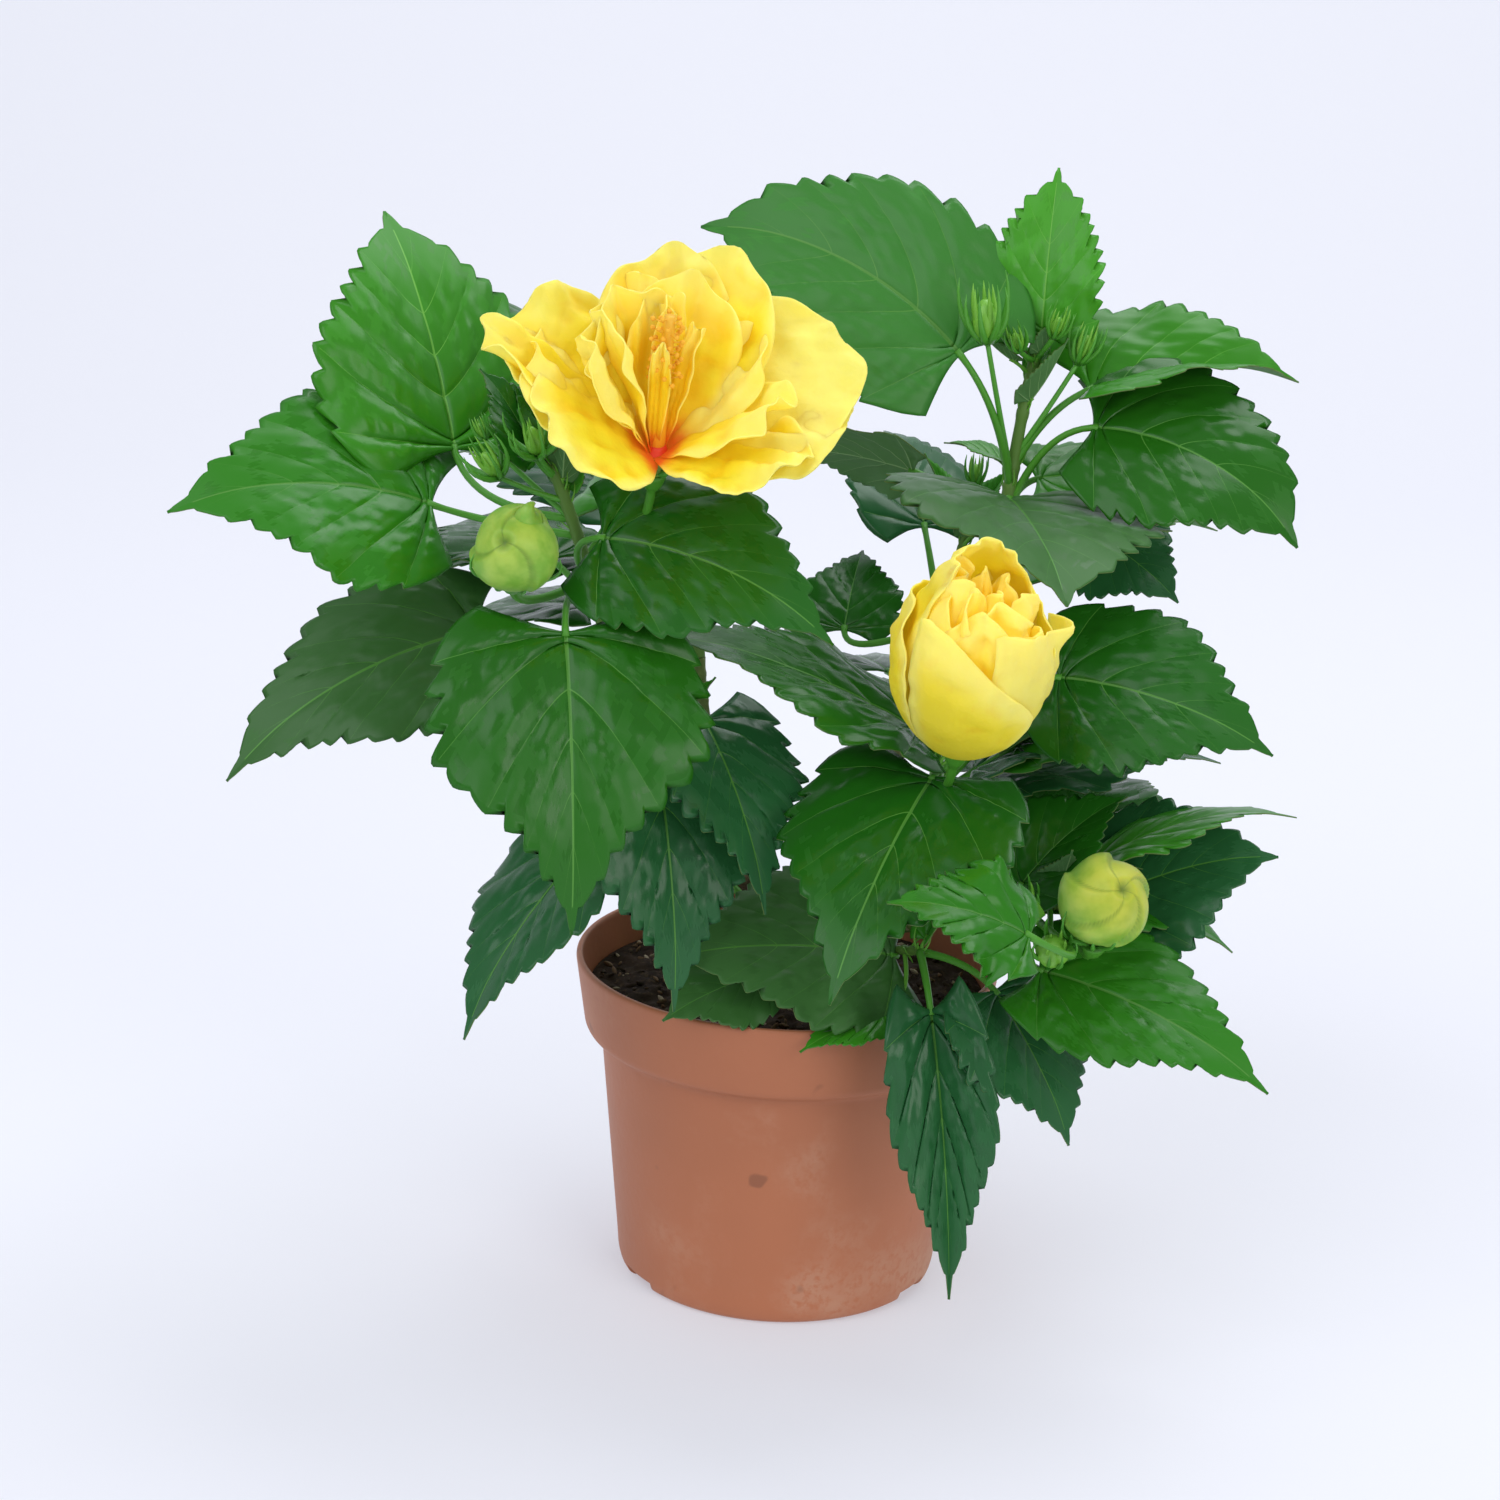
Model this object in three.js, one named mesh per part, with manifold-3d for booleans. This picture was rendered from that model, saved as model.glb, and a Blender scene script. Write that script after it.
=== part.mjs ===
// Hibiscus shrub in its pot, in millimetres, +Z up.
// The origin is the middle of the pot's flat underside and the viewer stands at -Y.
// A leafy mass is one fused solid: a stem, stalks and leaves that grow by a rule, clear of all other pieces.

import * as THREE from "three";
import { mergeVertices } from "three/addons/utils/BufferGeometryUtils.js";
import Module from "manifold-3d";

const wasm = await Module();
wasm.setup();

// Clearance between neighbouring pieces.
const SEAT = 0.3;

// Plastic pot: a steep collar over a body that narrows to a foot with three notches.
const POT = {
  height: 102,
  rimRadius: 65,
  collarHeight: 22,
  collarFootRadius: 61.9,
  shoulderDrop: 4,
  bodyTopRadius: 56.6,
  bodyFootRadius: 50,
  bodyFootHeight: 10,
  footRadius: 46.5,
  footRingInner: 43.5,
  wall: 2,
  floorThickness: 2.2,
  discRadius: 31,
  grooveHeight: 4,
  sides: 28,
};
const NOTCH = { count: 3, width: 14, height: 3.6, reach: 12 };

// Peat: just under the rim, a little higher round the stem.
const SOIL = { edgeBelowRim: 11.5, crown: 3.2, clearance: 0.35 };

// Woody main stem, from a flat cut on the peat to the fork.
const MAIN_STEM = {
  foot: [-4, 8, 0],
  top: [-2, 4, 121],
  flareRadius: 8.5,
  flareHeight: 5,
  footRadius: 5.6,
  topRadius: 4.2,
  sides: 12,
};

// Boughs: each one tapers from the main stem to the place where it enters its mass.
const BOUGHS = {
  left_bough: { from: [-3, 5, 116], to: [-54, -16, 188], bow: [-10, 2, -10], thick: 3.4, thin: 2.3 },
  lower_left_bough: { from: [-4, 4, 108], to: [-25, -13, 132], bow: [-4, -1, -5], thick: 2.8, thin: 2.0 },
  back_left_bough: { from: [-3, 7, 113], to: [-31, 20, 190], bow: [-13, 6, 0], thick: 3.2, thin: 2.3 },
  right_bough: { from: [-2, 5, 118], to: [58, 6, 232], bow: [8, 10, -14], thick: 3.8, thin: 2.5 },
  middle_right_bough: { from: [-1, 3, 114], to: [36, -26, 156], bow: [6, 2, -10], thick: 3.0, thin: 2.0 },
  lower_right_bough: { from: [-1, 4, 108], to: [50, -22, 127], bow: [2, -3, -7], thick: 2.8, thin: 1.9 },
  front_bough: { from: [-2, 2, 103], to: [22, -26, 112], bow: [0, -2, -2], thick: 2.4, thin: 1.8 },
  back_right_bough: { from: [-1, 7, 112], to: [34, 38, 168], bow: [6, 8, -12], thick: 3.0, thin: 2.1 },
};
const BOUGH_SIDES = 6;

// Leaves: an ovate blade with a long tip and a shallow heart-shaped base.
const LEAF = { thickness: 1.1, lobe: 0.1, cup: 10, tipWidth: 0.8 };
const STALK = { thick: 1.3, thin: 0.9, sides: 3, steps: 2, sunk: 1.6 };
const PETAL = { thickness: 1.2, endRound: 0.16, fold: 6, rootRadius: 2 };
const SPIKY_BUD = {
  sides: 8,
  spikes: 4,
  spikeDepth: 0.35,
  girth: 0.42,
  waist: 0.55,
  stalkRadius: 0.9,
  tipRadius: 0.4,
};
const FLOWER_STALK = { radius: 1.3, cupFlare: 2.6, bend: 0.5, sides: 6, steps: 6 };
const STEM = { sides: 6, steps: 5, lead: 6 };
// How the leaves of the rule are strewn: turn from leaf to leaf, scatter of heading and pitch,
// distance of a blade from the stem, roll, and how far its stalk rises above its own pitch.
const FILL = {
  turn: 137.5,
  headingScatter: 16,
  pitchScatter: 14,
  reach: 16,
  reachScatter: 22,
  rollScatter: 24,
  widthShare: 0.76,
  arch: 40,
  stalkLift: 25,
};

// Each mass: its stem, the leaves that show from the front, its buds, and the leaves that fill its far side.
// A leaf gives its place on the stem, the joint of stalk and blade, heading, pitch, length, width, roll,
// the arch of its midrib and the fold of its halves, in millimetres and degrees.
const MASSES = {
  left_foliage: {
    stem: { bough: "left_bough", to: [-73, -50, 264], bow: [6, -10, 0], thin: 1.4 },
    leaves: [
      { on: 0.85, at: [-102, -28, 262], heading: 122, pitch: 54, length: 78, width: 76, arch: 25 },
      { on: 0.8, at: [-107, -42, 249], heading: -158, pitch: 2, length: 76, width: 66, roll: -42, arch: 40 },
      { on: 0.2, at: [-94, -25, 208], heading: -160, pitch: -28, length: 86, width: 54, roll: -42, arch: 40 },
      { on: 0.6, at: [-66, -82, 224], heading: -80, pitch: -68, length: 84, width: 78, arch: 45 },
      { on: 0.62, at: [-58, -62, 246], heading: -22, pitch: -16, length: 74, width: 56, roll: 42, arch: 40 },
      { on: 0.97, at: [-77, -52, 266], heading: 150, pitch: 50, length: 30, width: 22, roll: -20, fold: 20 },
      { on: 0.97, at: [-71, -47, 268], heading: 120, pitch: 62, length: 34, width: 24, fold: 20 },
    ],
    spikyBuds: [
      { on: 0.9, at: [-87, -56, 261], size: 8 },
      { on: 0.97, at: [-76, -58, 268], size: 9 },
      { on: 0.85, at: [-92, -44, 269], size: 5 },
    ],
    flowerStalks: [
      { on: 0.6, bloom: "open_bloom", cup: 6 },
      { on: 0.66, bloom: "left_round_bud", cup: 5 },
    ],
    fill: { seed: 3, count: 4, facing: 100, span: 130, low: 0.15, high: 0.8, pitch: [-25, 25], length: [56, 74] },
    space: { middle: [-95, 10, 215], half: [78, 78, 82] },
  },
  lower_left_foliage: {
    stem: { bough: "lower_left_bough", to: [-36, -36, 186], bow: [-2, 0, -4], thin: 1.2 },
    leaves: [
      { on: 0.9, at: [-41, -52, 180], heading: -70, pitch: -70, length: 74, width: 46, arch: 35, fold: 15 },
      { on: 1.0, at: [-28, -46, 190], heading: -60, pitch: -48, length: 62, width: 44, arch: 35, fold: 15 },
      { on: 0.45, at: [-57, -42, 152], heading: -138, pitch: -46, length: 72, width: 50, arch: 30, fold: 12 },
      { on: 0.2, at: [-8, -50, 114], heading: -150, pitch: -16, length: 34, width: 30, roll: -40 },
    ],
    fill: { seed: 11, count: 3, facing: 175, span: 70, low: 0.2, high: 0.9, pitch: [-20, 10], length: [54, 66] },
    space: { middle: [-60, -20, 150], half: [62, 66, 60] },
  },
  back_left_foliage: {
    stem: { bough: "back_left_bough", to: [-48, 48, 256], bow: [6, 4, 2], thin: 1.2 },
    leaves: [],
    spikyBuds: [{ on: 1.0, at: [-49, 52, 266], size: 7 }],
    fill: { seed: 23, count: 13, facing: 100, span: 220, low: 0, high: 1, pitch: [-30, 38], length: [58, 80] },
    space: { middle: [-66, 66, 205], half: [76, 66, 96] },
  },
  upper_right_foliage: {
    stem: { bough: "right_bough", to: [66, 10, 290], bow: [-2, 0, 0], thin: 1.5 },
    leaves: [
      { on: 0.45, at: [43, 0, 290], heading: 158, pitch: 20, length: 90, width: 66, roll: -54, arch: 50 },
      { on: 0.97, at: [67, 10, 295], heading: 78, pitch: 72, length: 50, width: 30, fold: 15, arch: 20 },
      { on: 0.55, at: [82, 11, 279], heading: 12, pitch: 3, length: 66, width: 52, roll: 17, arch: 35, fold: 35 },
      { on: 0.25, at: [83, 0, 270], heading: -19, pitch: -24, length: 70, width: 62, roll: 38, arch: 55 },
      { on: 0.2, at: [59, -5, 249], heading: -78, pitch: -12, length: 68, width: 84, roll: -8, arch: 25, fold: 14 },
      { on: 0.3, at: [68, 9, 252], heading: 8, pitch: -2, length: 44, width: 38, roll: 22 },
      { on: 0.1, at: [86, 30, 232], heading: -25, pitch: -30, length: 36, width: 42, roll: 35 },
      { on: 0.1, at: [33, 40, 246], heading: 162, pitch: 3, length: 46, width: 44, roll: 38 },
      { on: 0.4, at: [57, 10, 257], heading: 160, pitch: 12, length: 18, width: 14, fold: 20 },
    ],
    spikyBuds: [
      { on: 0.5, at: [50, -8, 296], size: 12 },
      { on: 0.97, at: [60, 0, 292], size: 7 },
      { on: 0.97, at: [70, 2, 296], size: 7 },
      { on: 0.6, at: [78, 6, 288], size: 9 },
    ],
    fill: { seed: 31, count: 5, facing: 75, span: 120, low: 0.15, high: 0.9, pitch: [-15, 35], length: [54, 72] },
    space: { middle: [72, 48, 262], half: [84, 60, 76] },
  },
  middle_right_foliage: {
    stem: { bough: "middle_right_bough", to: [40, -54, 181], bow: [4, 2, -2], thin: 1.5 },
    leaves: [
      { on: 0.7, at: [34, -54, 191], heading: -170, pitch: 22, length: 82, width: 54, roll: -14, arch: 20 },
      { on: 0.8, at: [38, -68, 182], heading: -116, pitch: -36, length: 80, width: 68, roll: -5, arch: 30 },
      { on: 0.5, at: [73, -45, 206], heading: -20, pitch: -12, length: 66, width: 56, roll: 45, arch: 30 },
      { on: 0.2, at: [58, -6, 164], heading: 8, pitch: 4, length: 72, width: 54, roll: 2, arch: 30 },
    ],
    flowerStalks: [{ on: 0.85, bloom: "half_open_bloom", cup: 6 }],
    fill: { seed: 47, count: 3, facing: 20, span: 60, low: 0.1, high: 0.5, pitch: [5, 35], length: [50, 62] },
    space: { middle: [75, -30, 180], half: [125, 70, 60] },
  },
  lower_right_foliage: {
    stem: { bough: "lower_right_bough", to: [80, -46, 138], bow: [0, 0, -3], thin: 1.3 },
    leaves: [
      { on: 0.95, at: [92, -30, 133], heading: -5, pitch: 20, length: 54, width: 54, roll: 45, arch: 30 },
      { on: 0.8, at: [72, -60, 122], heading: -24, pitch: -18, length: 75, width: 46, roll: 35, arch: 30 },
      { on: 0.7, at: [64, -80, 142], heading: -168, pitch: 16, length: 42, width: 34, roll: -38, arch: 30 },
      { on: 0.6, at: [66, -48, 143], heading: 22, pitch: 38, length: 42, width: 38, roll: 20, arch: 30, fold: 20 },
    ],
    spikyBuds: [
      { on: 0.9, at: [74, -76, 132], size: 9 },
      { on: 0.9, at: [67, -70, 144], size: 8 },
    ],
    flowerStalks: [{ on: 1.0, bloom: "right_round_bud", cup: 5 }],
    fill: { seed: 59, count: 4, facing: 35, span: 90, low: 0.1, high: 0.9, pitch: [-20, 20], length: [50, 66] },
    space: { middle: [100, -18, 135], half: [56, 74, 50] },
  },
  front_foliage: {
    stem: { bough: "front_bough", to: [38, -48, 122], bow: [0, 0, 2], thin: 1.2 },
    leaves: [
      { on: 1.0, at: [41, -66, 111], heading: -64, pitch: -76, length: 86, width: 40, roll: 18, arch: 15, fold: 28 },
      { on: 0.9, at: [60, -54, 113], heading: -40, pitch: -52, length: 50, width: 54, roll: 5, arch: 20 },
      { on: 0.5, at: [31, -42, 118], heading: -158, pitch: 6, length: 72, width: 54, roll: -42, arch: 20 },
      { on: 0.8, at: [28, -59, 106], heading: -155, pitch: -16, length: 28, width: 18, roll: -20 },
    ],
    fill: { seed: 61, count: 2, facing: -30, span: 40, low: 0.1, high: 0.4, pitch: [10, 20], length: [40, 50] },
    space: { middle: [30, -60, 100], half: [70, 60, 90] },
  },
  back_right_foliage: {
    stem: { bough: "back_right_bough", to: [52, 56, 228], bow: [2, 4, 0], thin: 1.2 },
    leaves: [{ on: 0.6, at: [14, 50, 192], heading: 80, pitch: 30, length: 38, width: 34, arch: 30 }],
    spikyBuds: [{ on: 1.0, at: [53, 60, 238], size: 7 }],
    fill: { seed: 71, count: 12, facing: 65, span: 200, low: 0, high: 1, pitch: [-30, 45], length: [58, 80] },
    space: { middle: [74, 70, 178], half: [76, 66, 76] },
  },
};

// The open double bloom: rings of petals that overlap like shingles round a column of stamens.
const OPEN_BLOOM = {
  throat: [-43, -66, 263],
  heading: -76,
  pitch: 60,
  heart: 6,
  rings: [
    { count: 5, first: 16, spread: 66, length: 62, width: 60, arch: 30, roll: 16 },
    { count: 4, first: 52, spread: 36, length: 48, width: 40, arch: 16, roll: 16 },
  ],
  cup: { foot: 4.2, crown: 5.2, rise: 4 },
  column: { length: 46, thick: 2.4, thin: 1.4 },
};

// The half-open bloom: an egg of cupped petals that close over each other in a swirl.
const HALF_OPEN_BLOOM = {
  throat: [39, -84, 193],
  heading: -70,
  pitch: 74,
  heart: 6,
  egg: { radius: 23, length: 66, petals: 5, step: 0.14, swirl: 1.1, sides: 25, rows: 8 },
};

// Round buds about to show colour, in a collar of narrow green sepals.
const ROUND_BUDS = {
  left_round_bud: { middle: [-80, -80, 246], heading: -80, pitch: 50, radius: 12.5, length: 27 },
  right_round_bud: { middle: [87, -78, 150], heading: -80, pitch: 70, radius: 13.5, length: 30 },
};
const SEPAL = { count: 5, length: 13, width: 7, spread: 62, arch: 50 };

const FINISH = {
  pot: { color: 0xb0714f, roughness: 0.55 },
  soil: { color: 0x33231a, roughness: 1 },
  bark: { color: 0x7a6a4c, roughness: 0.85 },
  leaf: { color: 0x2f7d2c, roughness: 0.4 },
  petal: { color: 0xf5d21f, roughness: 0.6 },
  bud: { color: 0xa6c63c, roughness: 0.5 },
};

const radians = THREE.MathUtils.degToRad;
const vector = ([x, y, z]) => new THREE.Vector3(x, y, z);
const clamp = THREE.MathUtils.clamp;

// A chain of pseudo-random numbers from 0 to 1 that another program can repeat exactly.
function dice(seed) {
  let state = seed * 7919 + 1;
  return () => {
    state = (state * 16807) % 2147483647;
    return state / 2147483647;
  };
}

// A three.js shape as a solid, with its vertices moved by a function of their own place.
function solid(geometry, move = (v) => v) {
  const bare = geometry.clone();
  for (const name of Object.keys(bare.attributes)) {
    if (name !== "position") bare.deleteAttribute(name);
  }
  const merged = mergeVertices(bare, 1e-5);
  const place = merged.getAttribute("position");
  const v = new THREE.Vector3();
  for (let i = 0; i < place.count; i++) {
    const moved = move(v.fromBufferAttribute(place, i));
    place.setXYZ(i, moved.x, moved.y, moved.z);
  }
  return new wasm.Manifold(
    new wasm.Mesh({
      numProp: 3,
      vertProperties: new Float32Array(place.array),
      triVerts: new Uint32Array(merged.index.array),
    }),
  );
}

function fuse(solids) {
  return solids.reduce((whole, next) => whole.add(next));
}

// The largest body of a solid, without loose scraps.
function mainBody(whole) {
  const bodies = whole.decompose();
  return bodies.reduce((best, next) => (next.volume() > best.volume() ? next : best));
}

// Forward, left and upper-face directions of something that points along a heading and a pitch.
function frameOf(heading, pitch) {
  const h = radians(heading);
  const p = radians(pitch);
  const forward = new THREE.Vector3(Math.cos(p) * Math.cos(h), Math.cos(p) * Math.sin(h), Math.sin(p));
  const left = new THREE.Vector3(-Math.sin(h), Math.cos(h), 0);
  return { forward, left, up: forward.clone().cross(left) };
}

// A limb's centre line: a quadratic curve that bows away from the straight line.
function limbPath(from, to, bow) {
  const middle = from.clone().add(to).multiplyScalar(0.5).add(bow);
  return new THREE.QuadraticBezierCurve3(from, middle, to);
}

// A round limb along a curve. The radius is a function of the share of its length and of the angle round it.
function limb(curve, radiusAt, sides, steps) {
  return limbOf(new THREE.CylinderGeometry(1, 1, 1, sides, steps), curve, radiusAt, (t) => t);
}

// The same from a given cylinder, whose rings are spaced along the curve by a function.
function limbOf(cylinder, curve, radiusAt, spacing) {
  const chord = curve.getPoint(1).sub(curve.getPoint(0)).normalize();
  const reference = new THREE.Vector3(Math.abs(chord.x) < 0.8 ? 1 : 0, Math.abs(chord.x) < 0.8 ? 0 : 1, 0);
  return solid(cylinder, (v) => {
    const t = spacing(clamp(v.y + 0.5, 0, 1));
    const along = curve.getTangent(t);
    const side = reference.clone().cross(along).normalize();
    const other = side.clone().cross(along);
    const r = radiusAt(t, Math.atan2(v.z, v.x));
    return curve
      .getPoint(t)
      .addScaledVector(side, v.x * r)
      .addScaledVector(other, v.z * r);
  });
}

const taper = (thick, thin) => (t) => thick + (thin - thick) * t;

// Half-width of a blade, as a share of its widest, from its base (0) to its tip (1).
const leafOutline = (u) => 2.42 * Math.pow(u + 0.06, 0.45) * Math.pow(Math.max(1 - u, 0), 1.25);
const petalOutline = (u) => Math.pow(Math.sin(Math.PI * (0.06 + 0.8 * u)), 0.9);

// The place of a point of a blade. The midrib arches in the upright plane through its heading,
// and the blade rolls about it. across counts to the right, height above the middle layer.
function bladePlace(blade, across, along, height) {
  const { at, forward, left, up, length, width } = blade;
  const half = radians(blade.arch) / 2 || 1e-4;
  const radius = length / (2 * Math.sin(half));
  const turn = half * (1 - (2 * along) / length);
  const tangent = forward.clone().multiplyScalar(Math.cos(turn)).addScaledVector(up, Math.sin(turn));
  const above = up.clone().multiplyScalar(Math.cos(turn)).addScaledVector(forward, -Math.sin(turn));
  const roll = radians(blade.roll);
  const side = left.clone().multiplyScalar(Math.cos(roll)).addScaledVector(above, Math.sin(roll));
  const normal = tangent.clone().cross(side);
  const fold = radians(blade.fold - (blade.cup * Math.abs(across)) / (width / 2));
  return at
    .clone()
    .addScaledVector(forward, radius * (Math.sin(half) - Math.sin(turn)))
    .addScaledVector(up, radius * (Math.cos(turn) - Math.cos(half)))
    .addScaledVector(side, -across * Math.cos(fold))
    .addScaledVector(normal, Math.abs(across) * Math.sin(fold) + height);
}

// A blade as a closed plate: a box whose rows are widened to the outline and laid on the arched surface.
function plate(blade, outline, shape, thickness) {
  const grid = new THREE.BoxGeometry(2, 1, 1, shape.columns, shape.rows, 1);
  return solid(grid, (v) => {
    const u = clamp(v.y + 0.5, 0, 1);
    const halfWidth = Math.max((outline(u) * blade.width) / 2, LEAF.tipWidth / 2);
    const swept = shape.sweep(Math.abs(v.x), u) * blade.length;
    return bladePlace(blade, v.x * halfWidth, u * blade.length + swept, v.z * thickness);
  });
}

const leafSweep = (v, u) => -LEAF.lobe * Math.pow(v, 1.5) * Math.pow(1 - u, 4);
const petalSweep = (v, u) => -PETAL.endRound * v * v * u * u;
const LEAF_SHAPE = { rows: 5, columns: 2, sweep: leafSweep };
const FILL_SHAPE = { rows: 4, columns: 2, sweep: leafSweep };
const PETAL_SHAPE = { rows: 4, columns: 2, sweep: petalSweep };
const SEPAL_SHAPE = { rows: 2, columns: 1, sweep: petalSweep };

function leafBlade(leaf) {
  return {
    roll: 0,
    arch: 20,
    fold: 8,
    cup: LEAF.cup,
    ...leaf,
    at: vector(leaf.at),
    ...frameOf(leaf.heading, leaf.pitch),
  };
}

// A leaf stalk: it leaves the stem and comes in line with the blade that it carries.
function stalk(from, blade, extra = 0) {
  const start = bladePlace(blade, 0, 0, 0);
  const end = bladePlace(blade, 0, STALK.sunk, 0);
  const line = end.clone().sub(start).normalize();
  const reach = from.distanceTo(end);
  const bend = start.clone().addScaledVector(line, -0.4 * reach);
  const curve = new THREE.QuadraticBezierCurve3(from, bend, end);
  return limb(curve, taper(STALK.thick + extra, STALK.thin + extra), STALK.sides, STALK.steps);
}

// A pointed bud of a few millimetres on its stalk: a star-shaped collar of spikes round a closed tip.
function spikyBud(from, bud) {
  const at = vector(bud.at);
  const line = at.clone().sub(from).normalize();
  const tip = at.clone().addScaledVector(line, bud.size);
  const reach = from.distanceTo(tip);
  const collar = 1 - bud.size / reach;
  const waist = collar + (1 - collar) * SPIKY_BUD.waist;
  const radiusAt = (t, angle) => {
    if (t <= collar) return SPIKY_BUD.stalkRadius;
    const star = 1 + SPIKY_BUD.spikeDepth * Math.cos(SPIKY_BUD.spikes * angle);
    return t > waist ? SPIKY_BUD.tipRadius : bud.size * SPIKY_BUD.girth * star;
  };
  const stops = [0, collar, waist, 1];
  const cylinder = new THREE.CylinderGeometry(1, 1, 1, SPIKY_BUD.sides, stops.length - 1);
  const spacing = (t) => stops[Math.round(t * (stops.length - 1))];
  return limbOf(cylinder, new THREE.LineCurve3(from, tip), radiusAt, spacing);
}

// The frame of a petal or sepal: it leans away from the flower's axis by spread, at a clock angle round it.
function spreadFrame(heading, pitch, clock, spread) {
  const axis = frameOf(heading, pitch);
  const c = radians(clock);
  const s = radians(spread);
  const outward = axis.left.clone().multiplyScalar(Math.cos(c)).addScaledVector(axis.up, Math.sin(c));
  const forward = axis.forward.clone().multiplyScalar(Math.cos(s)).addScaledVector(outward, Math.sin(s));
  const up = axis.forward.clone().multiplyScalar(Math.sin(s)).addScaledVector(outward, -Math.cos(s));
  return { forward, up, left: up.clone().cross(forward), outward, axis: axis.forward };
}

function petalRing(flower, ring, outline = petalOutline, shape = PETAL_SHAPE, thickness = PETAL.thickness) {
  const petals = [];
  for (let k = 0; k < ring.count; k++) {
    const clock = ring.first + (360 / ring.count) * k;
    const frame = spreadFrame(flower.heading, flower.pitch, clock, ring.spread);
    const at = vector(flower.throat).addScaledVector(frame.outward, PETAL.rootRadius);
    const blade = { roll: 0, ...ring, ...frame, at, fold: PETAL.fold, cup: 0 };
    petals.push(plate(blade, outline, shape, thickness));
  }
  return petals;
}

// A round or pointed body along an axis, as a lathe turned to that axis.
function ovoid(base, axis, radius, length, sides, rows) {
  const curve = new THREE.LineCurve3(base, base.clone().addScaledVector(axis, length));
  const girth = (t) => Math.pow(Math.sin(Math.PI * clamp(t, 0.002, 0.998)), 0.6);
  return limb(curve, (t) => Math.max(0.4, radius * girth(t)), sides, rows);
}

function makePot() {
  const collarFoot = POT.height - POT.collarHeight;
  const bodyTop = collarFoot - POT.shoulderDrop;
  const outer = [
    [0, 0],
    [POT.discRadius, 0],
    [POT.discRadius + 3, POT.grooveHeight],
    [POT.footRingInner - 1, POT.grooveHeight],
    [POT.footRingInner, 0],
    [POT.footRadius, 0],
    [POT.footRadius + 2.2, 1.6],
    [POT.bodyFootRadius - 0.4, POT.bodyFootHeight / 2],
    [POT.bodyFootRadius, POT.bodyFootHeight],
    [POT.bodyTopRadius, bodyTop],
    [POT.bodyTopRadius + 1.4, bodyTop + 1.8],
    [POT.collarFootRadius - 1, collarFoot - 1.2],
    [POT.collarFootRadius, collarFoot + 0.6],
    [POT.rimRadius, POT.height - 1],
    [POT.rimRadius - 0.5, POT.height],
    [POT.rimRadius - POT.wall + 0.2, POT.height],
  ];
  const inner = [
    [POT.rimRadius - POT.wall - 0.2, POT.height - 1],
    [POT.collarFootRadius - POT.wall, collarFoot + 1],
    [POT.bodyTopRadius - POT.wall, bodyTop],
    [POT.bodyFootRadius - POT.wall, POT.bodyFootHeight],
    [POT.footRadius - POT.wall + 1, POT.grooveHeight + POT.wall],
    [POT.discRadius + 2, POT.grooveHeight + POT.wall],
    [POT.discRadius - 1, POT.floorThickness],
    [0, POT.floorThickness],
  ];
  const profile = [...outer, ...inner].map(([r, z]) => new THREE.Vector2(r, z));
  const turned = solid(new THREE.LatheGeometry(profile, POT.sides), ({ x, y, z }) => new THREE.Vector3(x, -z, y));
  let pot = turned;
  for (let k = 0; k < NOTCH.count; k++) {
    const angle = Math.PI / 2 + (2 * Math.PI * k) / NOTCH.count;
    const middle = POT.footRingInner - 0.6 + NOTCH.reach / 2;
    const cutter = new THREE.BoxGeometry(NOTCH.reach, NOTCH.width, 2 * NOTCH.height);
    cutter.translate(middle, 0, 0);
    cutter.rotateZ(angle);
    pot = pot.subtract(solid(cutter));
  }
  return pot;
}

function soilTop(radius) {
  const share = radius / (POT.rimRadius - POT.wall);
  return POT.height - SOIL.edgeBelowRim + SOIL.crown * (1 - share * share);
}

function makeSoil() {
  const gap = SOIL.clearance;
  const collarFoot = POT.height - POT.collarHeight;
  const bodyTop = collarFoot - POT.shoulderDrop;
  const edge = soilTop(POT.rimRadius - POT.wall);
  const rise = (edge - collarFoot) / POT.collarHeight;
  const edgeRadius = POT.collarFootRadius + (POT.rimRadius - POT.collarFootRadius) * rise - POT.wall - 0.2;
  const lower = [
    [0, POT.floorThickness + gap],
    [POT.discRadius - 1.2, POT.floorThickness + gap],
    [POT.discRadius + 1.8, POT.grooveHeight + POT.wall + gap],
    [POT.footRadius - POT.wall + 0.6, POT.grooveHeight + POT.wall + gap],
    [POT.bodyFootRadius - POT.wall - gap, POT.bodyFootHeight],
    [POT.bodyTopRadius - POT.wall - gap, bodyTop],
    [POT.collarFootRadius - POT.wall - 2 * gap, collarFoot + 1],
    [edgeRadius - gap, edge],
  ];
  const upper = [48, 32, 16, 0].map((r) => [r, soilTop(r)]);
  const profile = [...lower, ...upper].map(([r, z]) => new THREE.Vector2(r, z));
  return solid(new THREE.LatheGeometry(profile, POT.sides), ({ x, y, z }) => new THREE.Vector3(x, -z, y));
}

function makeMainStem(extra) {
  const foot = vector(MAIN_STEM.foot);
  foot.z = soilTop(0) + SEAT;
  const top = vector(MAIN_STEM.top);
  const elbow = new THREE.Vector3(foot.x, foot.y, (foot.z + top.z) / 2);
  const curve = new THREE.QuadraticBezierCurve3(foot, elbow, top);
  const flareShare = MAIN_STEM.flareHeight / (MAIN_STEM.top[2] - foot.z);
  const radiusAt = (t) => {
    const straight = taper(MAIN_STEM.footRadius, MAIN_STEM.topRadius)(t);
    const flare = Math.pow(clamp(1 - t / flareShare, 0, 1), 2);
    return straight + (MAIN_STEM.flareRadius - MAIN_STEM.footRadius) * flare + extra;
  };
  return limb(curve, radiusAt, MAIN_STEM.sides, 8);
}

function boughCurve(name) {
  const { from, to, bow } = BOUGHS[name];
  return limbPath(vector(from), vector(to), vector(bow));
}

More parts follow.
